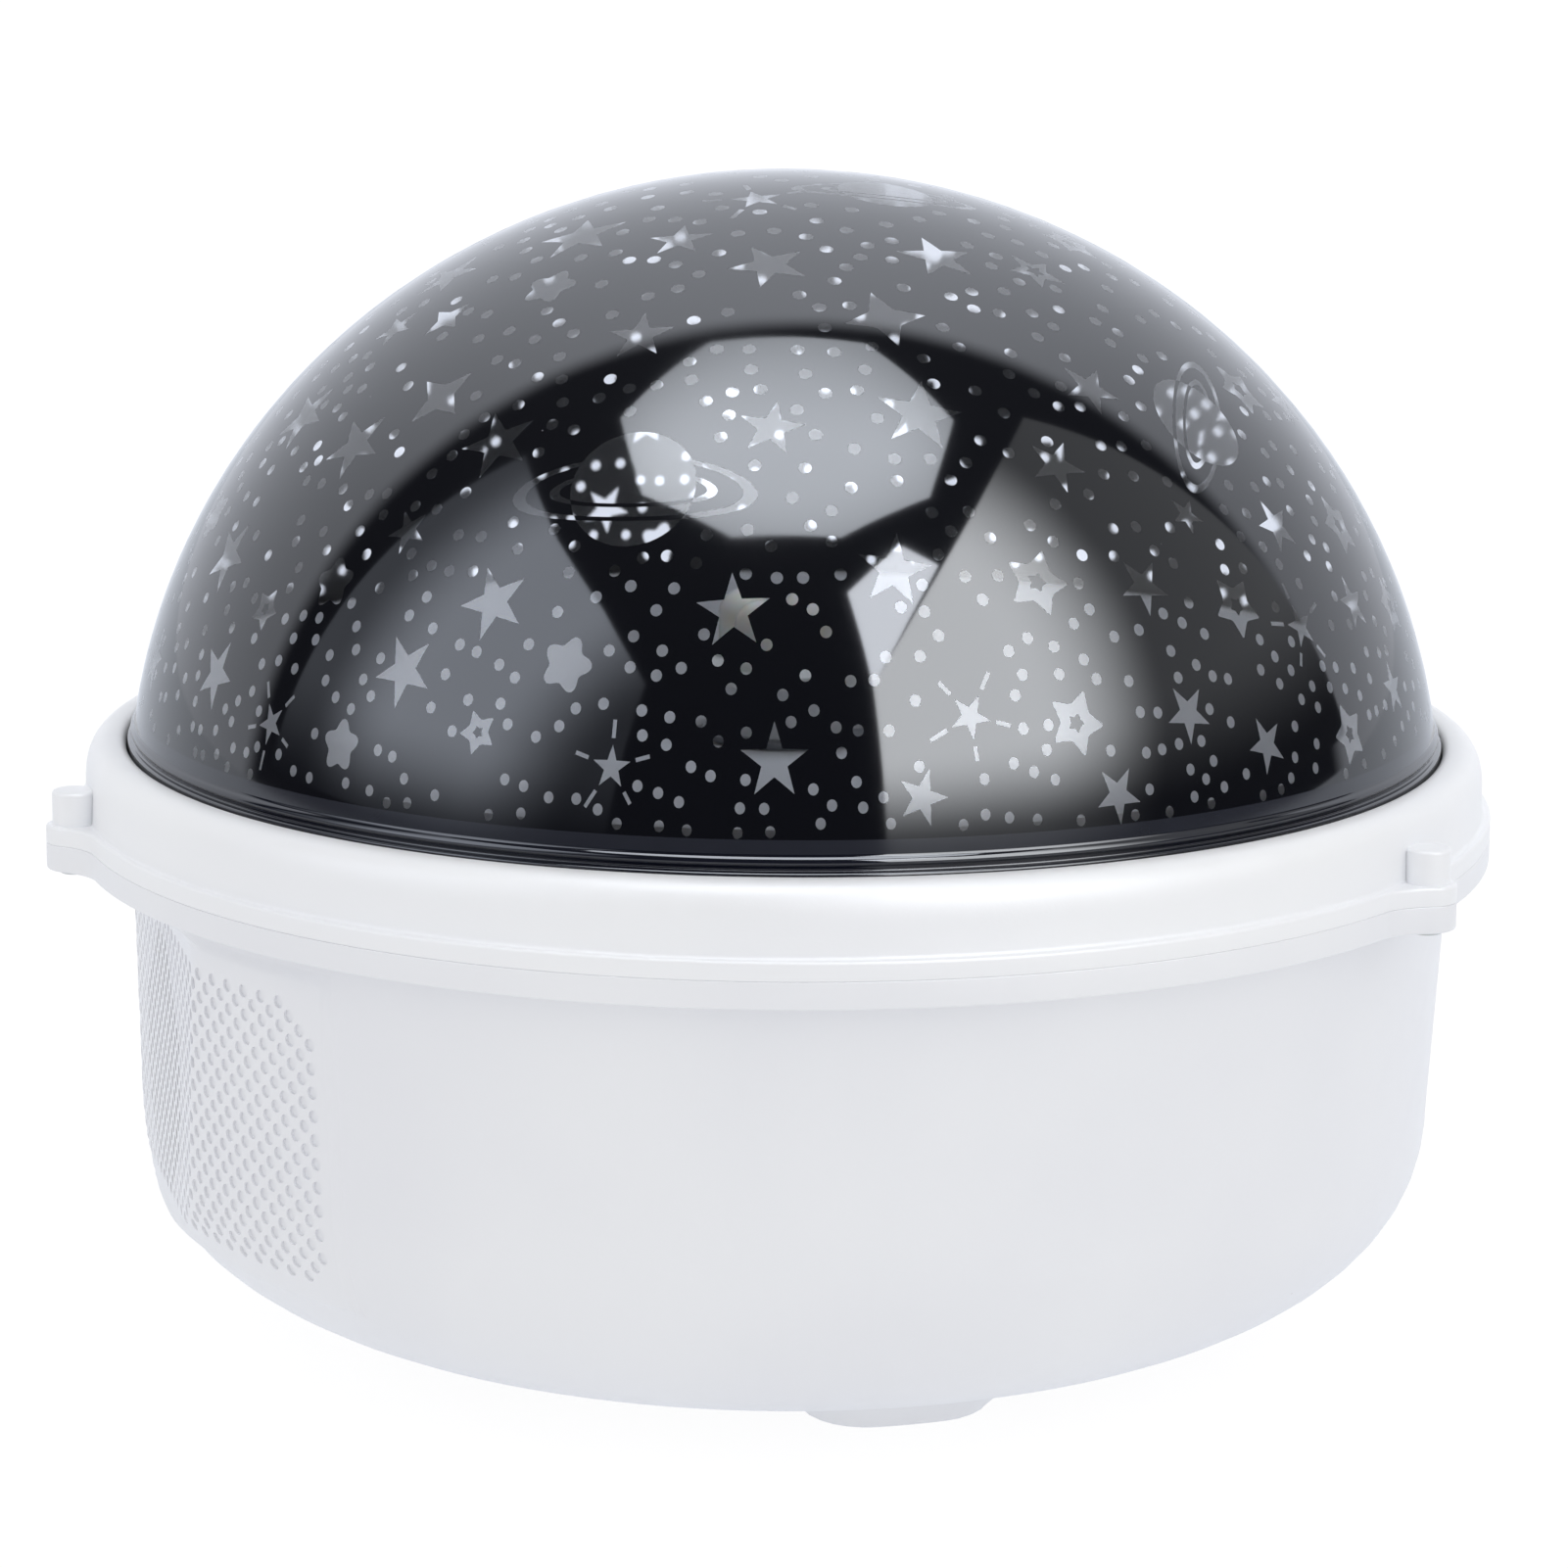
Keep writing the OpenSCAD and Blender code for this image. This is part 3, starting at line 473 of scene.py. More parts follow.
bowl = Moulding()
seam_x = (seam * az_scale, (seam + 360) * az_scale)
seam_s = np.linspace(0, section_len, 29)[1:-1]
floor_angles = [seam + 3 * k for k in range(121)]
wall_edge = [(a * az_scale, 0) for a in ring_angles] + [(seam_x[1], 0)]
wall_edge += [(seam_x[1], s) for s in seam_s]
wall_edge += [(a * az_scale, section_len) for a in reversed(floor_angles)]
wall_edge += [(seam_x[0], s) for s in reversed(seam_s)]

slopes = [box_loop(field_mid - field_half + t, field_mid + field_half - t,
                   field_s[0] + t, field_s[1] - t) for t in (0, 0.25, 0.5, 0.8, 1.1, slope_w)]
holes = speaker_holes()
hole_loops = [circle(x, s, hole_r, 14) for x, s, through in holes]
pocket_loop = [on_wall(y, z) for y, z in panel_outline(0.35)]
wall_loops = [pocket_loop, *hole_loops, *slopes]
opening_count = 1 + len(holes)
pocket_x = [x for x, s in pocket_loop]
spot_gap = 0.7
wall_spots = [
    (a * az_scale, s) for a in floor_angles[1:-1] for s in seam_s
    if field_inset(a * az_scale, s) < -spot_gap
    and not (min(pocket_x) - spot_gap < a * az_scale < max(pocket_x) + spot_gap and s < 36)]
# More points where the field's flat runs out, above and below the holes
wall_spots += [(field_mid + 1.3 * step, along_section(z)) for step in range(-32, 33)
               for z in (13.4, 14.1, 14.7, 44.1)]
bowl.sheet(wall_edge, wall_loops, wall_spots, bowl_wall,
           lambda inside: None if any(n < opening_count for n in inside) else 0)

# The holes: blind pits, or open to the inside in front of the speaker
for (x, s, through), loop in zip(holes, hole_loops):
    flat = np.array(loop)
    if through:
        bowl.join([bowl_wall(flat), bowl_wall(flat, wall, raised=False)])
    else:
        bowl.join([bowl_wall(flat), bowl_wall(flat, pit_depth)])
        bowl.close(bowl_wall(flat, pit_depth))

# Inside of the wall
boss = [(y, panel_z + z) for y, z in round_rect(31, 31.6, panel_corner)]
boss_loop = [on_wall(y, z) for y, z in boss]
inner_loops = [boss_loop] + [loop for hole, loop in zip(holes, hole_loops) if hole[2]]
bowl.sheet(wall_edge, inner_loops, wall_spots,
           lambda flat: bowl_wall(flat, wall, raised=False),
           lambda inside: 0 if not inside else None)

# Floor, parting face and flange
floor_ring = [(*polar(floor_r, a), floor_z) for a in floor_angles[:-1]]
inner_floor_ring = bowl_wall(np.array([(a * az_scale, section_len) for a in floor_angles[:-1]]),
                             wall, raised=False)
bowl.close(floor_ring)
bowl.close(inner_floor_ring)
top_ring = bowl_wall(np.array([(a * az_scale, 0) for a in ring_angles]), wall, raised=False)
arc = [math.radians(18 * i) for i in range(6)]
edge_rings = [flange_ring(parting_edge * (1 - math.sin(a)),
                          parting_z - parting_edge * (1 - math.cos(a))) for a in arc]
edge_rings += [flange_ring(flange_edge * (1 - math.cos(a)),
                           flange_low_z + flange_edge * (1 - math.sin(a))) for a in arc]
bowl.join([top_ring, round_ring(bowl_top_r - wall, parting_z), *edge_rings])
screw_well_r, screw_well_z = 2.0, 48.8
wells = [circle(*polar(lug_at, lug), screw_well_r, 28) for lug in lug_dirs]
bowl.sheet([point[:2] for point in edge_rings[-1]],
           [[point[:2] for point in round_ring(bowl_top_r, 0)], *wells], [],
           lambda flat: np.insert(flat, 2, flange_low_z, 1),
           lambda inside: 0 if not inside else None)
for well in wells:
    levels = [[(x, y, z) for x, y in well] for z in (flange_low_z, screw_well_z)]
    bowl.join(levels)
    bowl.close(levels[1])

# Pocket of the control panel, and the boss behind it
surface_ring = bowl_wall(np.array(pocket_loop))
to_panel = outwards(side_turn, 0, 0)


def wall_x(y, z):
    r = float(np.interp(-z, -section_z, section_r))
    return math.sqrt(r * r - y * y)


def sunk_ring(grow, depth):
    return [to_panel(y, z, wall_x(y, z) - depth) for y, z in panel_outline(grow)]


opening = [(y, panel_z + z) for y, z in round_rect(22, 26, 4)]
boss_back_x = panel_back_x - 2.5
bowl.join([
    surface_ring, sunk_ring(0.17, 0.08), sunk_ring(0.1, 0.25), panel_ring(0.1, panel_back_x),
    [to_panel(y, z, panel_back_x) for y, z in opening],
    [to_panel(y, z, boss_back_x) for y, z in opening],
    [to_panel(y, z, boss_back_x) for y, z in boss],
    bowl_wall(np.array(boss_loop), wall, raised=False)])

# Pillars of the deck, seat and bosses of the speaker, bosses of the board, battery pads
pillar_at = 52
pillar_section = [(0, 36), (1.2, 36), (1.2, 45.8), (1.4, 46), (3.3, 46), (3.5, 45.8),
                  (3.5, None), (0, None)]
seat_section = [(15.5, None), (15.5, 56), (18, 56), (18, None), (15.5, None)]
ear_at = 20.2
ear_section = [(0, 57.5), (1, 57.5), (1, 55), (2.1, 55), (2.1, None), (0, None)]
board_boss_section = [(0, 54.5), (1, 54.5), (1, 53.1), (2.4, 53.1), (2.4, None), (0, None)]
pad_x, pad_size, pad_top = 18, (21, 60), 5.2
diagonals = (45, 135, 225, 315)
for diagonal in diagonals:
    bowl.turn(pillar_section, upright(*polar(pillar_at, side_turn + diagonal)))
bowl.turn(seat_section, outwards(speaker_turn, 0, speaker_z), steps=48)
for diagonal in diagonals:
    across, up = polar(ear_at, diagonal)
    bowl.turn(ear_section, outwards(speaker_turn, across, speaker_z + up))
for across in (-18, 18):
    for height in (19, 40.5):
        bowl.turn(board_boss_section, outwards(side_turn, across, height))
pad = [(*polar(math.hypot(pad_x + x, y), side_turn + math.degrees(math.atan2(y, pad_x + x))), 0)
       for x, y in round_rect(*pad_size, 0.5)]
pad_rings = [[(x, y, z) for x, y, _ in pad] for z in (floor_z + wall / 2, pad_top)]
bowl.join(pad_rings)
for ring in pad_rings:
    bowl.close(ring)

# Feet: bean-shaped, with slanting sides and a round lower edge
foot_dirs = (17, 107, 197, 287)
foot_at = 37.5
foot_half_angle = 4.5
foot_levels = [(0, 4.9), (0.1, 5.5), (0.35, 5.95), (0.8, 6.35), (2.2, 7.8), (2.9, 8.6),
               (3.6, 9.3)]


def foot_ring(middle, z, r):
    """Outline of a foot: a band along a circle with two round ends."""
    def band(radius, start, end):
        return [polar(radius, start + (end - start) * i / 4) for i in range(5)]

    def cap(end, start):
        x, y = polar(foot_at, end)
        bends = (polar(r, end + start + 15 * i) for i in range(1, 12))
        return [(x + across, y + up) for across, up in bends]

    first, last = middle - foot_half_angle, middle + foot_half_angle
    ring = (band(foot_at + r, first, last) + cap(last, 0)
            + band(foot_at - r, last, first) + cap(first, 180))
    return [(x, y, z) for x, y in ring]


for foot in foot_dirs:
    rings = [foot_ring(foot, z, r) for z, r in foot_levels]
    bowl.close(rings[0])
    bowl.join(rings)
    bowl.close(rings[-1])

bowl_piece = bowl.piece("bowl", [bowl_white], surface=wall_normals)
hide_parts("lower_bowl")
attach(bowl_piece, "base")


# -------------------------------------------------------------------- Speaker
# A small loudspeaker with a pressed steel basket, a black paper cone and a ferrite magnet.
# It lies on a foam gasket against its seat behind the holes, held by four screws.

def dress(node, material):
    """Gives a piece that keeps its solid's shape its finish."""
    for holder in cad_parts[node].material_slots:
        holder.material = material


def bright_steel(name, colour, rough, brush=(1, 1, 1)):
    """Plated or drawn steel with fine tool marks and dull patches."""
    skin = Finish(name, colour, rough, metal=1.0)
    skin.polish(skin.clouds(1.4), rough + 0.12)
    skin.tint(skin.clouds(3.0, 0.5, 0.75), tuple(0.75 * c for c in colour[:3]) + (1.0,))
    skin.relief(skin.clouds(0.25, 0.3, 0.7, stretch=brush), 0.004)
    return skin.material


def foam():
    skin = Finish("gasket_foam", srgb(62, 63, 66), 0.95)
    skin.tint(skin.clouds(0.5), srgb(40, 41, 44))
    skin.relief(skin.clouds(0.4), 0.12)
    return skin.material


def cone_paper():
    skin = Finish("cone_paper", srgb(34, 34, 36), 0.85)
    skin.tint(skin.clouds(0.7), srgb(48, 47, 46))
    skin.relief(skin.clouds(0.3, stretch=(1, 1, 3)), 0.03)
    return skin.material


def ferrite():
    skin = Finish("ferrite", srgb(58, 58, 61), 0.6)
    skin.tint(skin.clouds(0.6), srgb(44, 44, 47))
    skin.relief(skin.clouds(0.5), 0.02)
    return skin.material


screw_steel = bright_steel("screw_steel", srgb(196, 196, 190), 0.3)
dress("speaker_gasket", foam())
dress("speaker_frame", bright_steel("basket_steel", srgb(176, 178, 180), 0.35))
dress("speaker_cone", cone_paper())
dress("speaker_magnet", ferrite())
dress("speaker_screws", screw_steel)


# -------------------------------------------------------------- Control panel
# A white plate with round corners, glued into its pocket opposite the speaker. Four grey
# push buttons with printed marks, the charge light's window and the power inlet are in it.

panel_face_x = 61.9
button_y = 6.2
button_rows = {"high": 38.8, "low": 27.8}
button_r = 4.0
button_play = 0.12
indicator_at = (0.0, 33.3)
inlet_z = 19.8
inlet_size = (9.3, 3.5)


def panel_white():
    skin = Finish("panel_white", srgb(238, 239, 241), 0.3)
    skin.tint(skin.clouds(9, 0.4, 0.7), srgb(233, 234, 237))
    skin.relief(skin.clouds(0.3, 0.2, 0.8), 0.004)
    return skin.material


panel = Moulding()
panel_openings = [circle(y, z, button_r + button_play, 40)
                  for y in (-button_y, button_y) for z in button_rows.values()]
panel_openings.append(circle(*indicator_at, 1.1, 24))
panel_openings.append([(y, inlet_z + z) for y, z in round_rect(*inlet_size, 1.6)])
panel_edge = 0.4
opening_edge = 0.2


def widened(loop, by):
    """The outline with every point moved away from its middle."""
    mid = np.mean(loop, 0)
    return [tuple(mid + (np.array(p) - mid) * (1 + by / np.hypot(*(p - mid)))) for p in loop]


for x, grow, edge in ((panel_back_x, 0, 0.0), (panel_face_x, -panel_edge, opening_edge)):
    panel.sheet(panel_outline(grow), [widened(loop, edge) for loop in panel_openings], [],
                lambda flat, x=x: np.array([to_panel(y, z, x) for y, z in flat]),
                lambda inside: 0 if not inside else None)
panel.join([panel_ring(0, panel_back_x), panel_ring(0, panel_face_x - panel_edge)]
           + [panel_ring(-panel_edge * (1 - math.cos(a)),
                         panel_face_x - panel_edge * (1 - math.sin(a))) for a in arc[1:]])
for loop in panel_openings:
    panel.join([[to_panel(y, z, panel_back_x) for y, z in loop],
                [to_panel(y, z, panel_face_x - opening_edge) for y, z in loop],
                [to_panel(y, z, panel_face_x) for y, z in widened(loop, opening_edge)]])
panel_piece = panel.piece("control_plate", [panel_white()])
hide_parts("button_panel")
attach(panel_piece, "base")


def button_grey():
    skin = Finish("button_grey", srgb(206, 208, 212), 0.42)
    skin.tint(skin.clouds(3, 0.4, 0.7), srgb(200, 202, 207))
    skin.relief(skin.clouds(0.25, 0.2, 0.8), 0.006)
    return skin.material


def mark_ink():
    skin = Finish("mark_ink", srgb(88, 92, 100), 0.5)
    skin.tint(skin.clouds(0.5), srgb(80, 84, 93))
    return skin.material


def arc_points(x, y, r, start, end, steps=20):
    turns = [math.radians(start + (end - start) * i / steps) for i in range(steps + 1)]
    return [(x + r * math.cos(a), y + r * math.sin(a)) for a in turns]


def bar(points, width=0.34):
    """Outline of a line of a width through points."""
    points = [np.array(p, float) for p in points]
    left, right = [], []
    for i, p in enumerate(points):
        before, after = points[max(i - 1, 0)], points[min(i + 1, len(points) - 1)]
        along = (after - before) / np.hypot(*(after - before))
        aside = np.array([-along[1], along[0]]) * width / 2
        left.append(tuple(p + aside))
        right.append(tuple(p - aside))
    return left + right[::-1]


def star_outline(r, inner=0.4, points=5, turn=90):
    return [polar(r * (1 if k % 2 == 0 else inner), turn + 180 * k / points)
            for k in range(2 * points)]


# Marks, as flat outlines: a switch bar, a lamp's rays, a note and a clock
marks = {
    "power": [bar(arc_points(0, -0.1, 1.3, 125, 415)), bar([(0, 0.3), (0, 1.6)])],
    "light": [star_outline(0.9, 0.45)] + [
        bar([polar(1.3, 90 + 72 * k), polar(1.8, 90 + 72 * k)], 0.3) for k in range(5)],
    "music": [circle(-0.75, -1.15, 0.5, 16), circle(0.95, -0.85, 0.5, 16),
              bar([(-0.4, -1.1), (-0.4, 1.2)], 0.26), bar([(1.3, -0.8), (1.3, 1.5)], 0.26),
              bar([(-0.5, 1.1), (1.4, 1.4)], 0.5)],
    "timer": [bar(arc_points(0, 0, 1.45, 90, 449)), bar([(0, -0.1), (0, 0.95)], 0.28),
              bar([(-0.1, 0), (0.75, 0)], 0.28)],
}
button_skin = button_grey()
button_ink = mark_ink()
stem_r = 1.6
stem_x = 56.2
button_flange_x = (58.8, 59.8)
button_face_x = panel_face_x + 0.8
button_edge = 0.5
mark_depth = 0.3
button_flange_r = 4.6
button_section = [(0, stem_x), (stem_r, stem_x), (stem_r, button_flange_x[0]),
                  (button_flange_r, button_flange_x[0]), (button_flange_r, button_flange_x[1]),
                  (button_r, button_flange_x[1]), (button_r, button_face_x - button_edge)]
button_section += [(button_r - button_edge * (1 - math.cos(a)),
                    button_face_x - button_edge * (1 - math.sin(a))) for a in arc[1:]]
button_section += [(2.6, button_face_x - 0.06), (1.2, button_face_x - 0.12),
                   (0, button_face_x - 0.14)]
for mark, (across, row) in {"power": (-button_y, "high"), "light": (button_y, "high"),
                            "music": (-button_y, "low"), "timer": (button_y, "low")}.items():
    place = outwards(side_turn, across, button_rows[row])
    button = Moulding()
    button.turn(button_section, place, steps=48)
    for outline in marks[mark]:
        levels = [[place(y, z, x) for y, z in outline]
                  for x in (button_face_x - mark_depth, button_face_x)]
        button.join(levels, slot=1)
        button.close(levels[0], slot=1)
        button.close(levels[1], slot=1)
    button_piece = button.piece(f"{mark}_cap", [button_skin, button_ink])
    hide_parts(f"button_{mark}")
    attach(button_piece, f"{mark}_button")


def clear_blue():
    skin = Finish("indicator_clear", srgb(190, 214, 232), 0.15)
    skin.tint(skin.clouds(0.6), srgb(168, 200, 226))
    return skin.material


dress("indicator_lens", clear_blue())
dress("usb_socket", bright_steel("socket_steel", srgb(188, 190, 192), 0.28))


# -------------------------------------------------------------- Control board
# A green circuit board on four bosses behind the panel, with a push switch under every
# button and its chip, coil and capacitor on the inner side.

def solder_mask():
    skin = Finish("solder_mask", srgb(28, 92, 52), 0.35)
    skin.tint(skin.clouds(1.6, 0.49, 0.51, stretch=(1, 3, 1)), srgb(22, 74, 42))
    skin.tint(skin.specks(2.2, 0.3, 0.3), srgb(196, 198, 190))
    skin.relief(skin.clouds(1.6, 0.49, 0.51, stretch=(1, 3, 1)), 0.03)
    return skin.material


def dark_moulding(name, colour, rough):
    skin = Finish(name, colour, rough)
    skin.tint(skin.clouds(2), tuple(0.8 * c for c in colour[:3]) + (1.0,))
    skin.relief(skin.clouds(0.3), 0.008)
    return skin.material


dress("control_board", solder_mask())
dress("tact_switches", dark_moulding("switch_black", srgb(46, 47, 50), 0.45))
dress("board_parts", dark_moulding("chip_black", srgb(34, 34, 36), 0.5))
dress("board_screws", screw_steel)


# -------------------------------------------------------------------- Battery
# A wrapped rechargeable cell in a dark cradle on the bowl's floor, held by a strap.

def cell_wrap():
    skin = Finish("cell_wrap", srgb(46, 92, 168), 0.25)
    skin.tint(skin.clouds(6, 0.45, 0.7), srgb(40, 80, 152))
    skin.relief(skin.clouds(1.2, stretch=(1, 1, 4)), 0.02)
    return skin.material


dress("battery_cell", cell_wrap())
dress("battery_holder", dark_moulding("holder_black", srgb(52, 53, 56), 0.5))
dress("battery_strap", dark_moulding("strap_grey", srgb(92, 93, 96), 0.6))


# ------------------------------------------------------------- Deck and motor
# A grey plate on the bowl's pillars carries the pivot post and, in a saddle under it, the
# geared motor whose pinion turns the dome. The lamp board stands on the post.

def inner_plastic(name, colour):
    skin = Finish(name, colour, 0.5)
    skin.tint(skin.clouds(12, 0.4, 0.7), tuple(0.94 * c for c in colour[:3]) + (1.0,))
    skin.relief(skin.clouds(0.35, 0.2, 0.8), 0.006)
    return skin.material


def nylon():
    skin = Finish("nylon", srgb(232, 228, 214), 0.4)
    skin.tint(skin.clouds(5), srgb(226, 220, 204))
    skin.relief(skin.clouds(0.4), 0.005)
    return skin.material


def board_white():
    skin = Finish("board_white", srgb(232, 233, 230), 0.4)
    skin.tint(skin.specks(1.8, 0.3, 0.35), srgb(190, 186, 160))
    skin.relief(skin.clouds(1.2, 0.49, 0.51), 0.02)
    return skin.material


def lamp_resin():
    skin = Finish("lamp_resin", srgb(228, 229, 227), 0.12)
    skin.tint(skin.clouds(2), srgb(230, 229, 214))
    skin.shader.inputs["Subsurface Weight"].default_value = 0.3
    skin.shader.inputs["Subsurface Scale"].default_value = 0.002
    return skin.material


grey_plastic = inner_plastic("deck_grey", srgb(206, 208, 210))
dress("deck_plate", grey_plastic)
dress("motor_bracket", grey_plastic)
dress("pivot_post", inner_plastic("post_white", srgb(230, 231, 232)))
dress("deck_screws", screw_steel)
dress("motor_screws", screw_steel)
dress("motor_gearbox", bright_steel("gearbox_brass", srgb(206, 172, 98), 0.32))
dress("motor_can", bright_steel("can_steel", srgb(182, 184, 186), 0.25, brush=(1, 1, 6)))
dress("motor_shaft", bright_steel("shaft_steel", srgb(198, 200, 202), 0.2))
dress("retaining_ring", bright_steel("clip_steel", srgb(150, 152, 156), 0.3))
nylon_skin = nylon()
dress("thrust_washer", nylon_skin)
dress("pinion", nylon_skin)
dress("led_board", board_white())
dress("led_lamps", lamp_resin())


# ------------------------------------------------------------------ Turntable
# A white tray with an upright rib carries the dome's skirt. It is pressed onto the hub of
# the drive gear, which turns on the post between a slip washer and a clip.

def tray_white():
    skin = Finish("tray_white", srgb(238, 239, 241), 0.45)
    skin.tint(skin.clouds(16, 0.4, 0.7), srgb(234, 235, 238))
    skin.tint(skin.specks(7, 0.12, 0.4), srgb(170, 168, 164))
    skin.relief(skin.clouds(0.35, 0.2, 0.8), 0.005)
    return skin.material


dress("turntable", tray_white())
dress("drive_gear", inner_plastic("gear_white", srgb(232, 232, 232)))


# ----------------------------------------------------------------------- Dome
# A clear moulded shell around a glossy black print. The print is made flat and is then
# drawn over the dome's form, which narrows it towards the foot. Stars, ringed planets and
# dots are left clear. The foot has a smoke grey edge, a bead and a dark rim, and the skirt
# under the rim stands on the turntable.

dome_a = 64.96
dome_b = 62.58
dome_mid_z = 51.4
dome_start_z = 60.6
dome_wall = 1.8
shell_ior = 1.58
print_r = 103.9
dot_r = 0.73
dot_gap = 2.65
dot_count = 1420
dot_clear = 1.25
motif_clear = 3.4

# Distance from the middle of the flat sheet, by the lift angle on the dome
lift_table = np.linspace(0, 90, 1801)
lift_cos, lift_sin = np.cos(np.radians(lift_table)), np.sin(np.radians(lift_table))
drawn = 0.70 + 0.0034 * (lift_table[1:] + lift_table[:-1]) / 2
sheet_steps = np.hypot(np.diff(dome_a * lift_cos), np.diff(dome_b * lift_sin)) / drawn
sheet_table = sheet_steps.sum() - np.concatenate([[0], np.cumsum(sheet_steps)])


def form_dome(flat):
    """Where points of the flat sheet come to lie on the dome."""
    lift = np.radians(np.interp(-np.hypot(flat[:, 0], flat[:, 1]), -sheet_table, lift_table))
    turn = np.arctan2(flat[:, 1], flat[:, 0])
    return np.stack([dome_a * np.cos(lift) * np.cos(turn), dome_a * np.cos(lift) * np.sin(turn),
                     dome_mid_z + dome_b * np.sin(lift)], 1)


def dome_normals(points):
    """Outward direction of the dome's outside, or zero off it."""
    scaled = (points - (0, 0, dome_mid_z)) / (dome_a, dome_a, dome_b)
    on = (abs((scaled ** 2).sum(1) - 1) < 1e-4) & (points[:, 2] > dome_start_z - 0.01)
    normal = scaled / (dome_a, dome_a, dome_b)
    return normal * (on / np.linalg.norm(normal, axis=1))[:, None]


def round_corners(outline, cut):
    """Takes the corners off a closed outline, from this far along its sides."""
    found = []
    for before, at, after in zip(np.roll(outline, 1, 0), np.array(outline),
                                 np.roll(outline, -1, 0)):
        start = at + (before - at) * cut / np.linalg.norm(before - at)
        end = at + (after - at) * cut / np.linalg.norm(after - at)
        found += [start, (start + 2 * at + end) / 4, end]
    return found


def star(r):
    return [star_outline(r, 0.39)]


def four_star(r):
    return [star_outline(r, 0.42, 4)]


def framed_star(r):
    return [round_corners(star_outline(r * 1.04, 0.54), 0.1 * r), star_outline(0.31 * r, 0.62)]


def thin_star(r):
    return [star_outline(r, 0.44), star_outline(0.37 * r, 0.5)]


def puffy_star(r):
    turns = np.radians(np.arange(0, 360, 7.5))
    lobes = r * (0.86 + 0.16 * np.cos(5 * (turns - math.pi / 2)))
    return [np.stack([lobes * np.cos(turns), lobes * np.sin(turns)], 1)]


def burst(r):
    rays = (2.08, 1.98, 2.2, 1.9, 2.0)
    return star(r) + [bar([polar(1.28 * r, 90 + 72 * k), polar(ray * r, 90 + 72 * k)], 0.5)
                      for k, ray in enumerate(rays)]


def ringed_planet(size):
    """A clear disc with two clear rings. Where the rings pass in front of the disc, at its
    lower half, they stay black."""
    disc_r = 7.2
    outlines = [circle(0, 0, disc_r, 60)]
    for outer, inner in (((14.2, 4.1), (12.6, 3.6)), ((9.7, 2.4), (8.5, 1.95))):
        band = []
        for (a, b), way in ((outer, 1), (inner, -1)):
            meets = math.acos(math.sqrt((disc_r ** 2 - b * b) / (a * a - b * b)))
            turns = np.linspace(meets, meets - math.pi - 2 * meets, 56)[::way]
            band += [(a * math.cos(t), b * math.sin(t)) for t in turns]
        outlines.append(band)
    return [np.array(outline) * size for outline in outlines]


# Kinds of motifs: outlines by size, reach, size of the middle that dots keep off (both as
# shares of the size), and the sizes and share in the part of the print at the back
motif_kinds = {
    "star": (star, 1.0, 0.35, (3.5, 4.8), 9),
    "four star": (four_star, 1.0, 0.4, (3.0, 4.3), 1),
    "framed": (framed_star, 1.0, 0.5, (3.8, 4.0), 3),
    "thin": (thin_star, 1.0, 0.4, (3.2, 3.4), 1),
    "puffy": (puffy_star, 1.0, 0.9, (3.0, 3.3), 2),
    "burst": (burst, 2.1, 0.4, (2.7, 2.8), 2),
    "planet": (ringed_planet, 13.0, 7.3, (0.84, 1.0), 1),
}
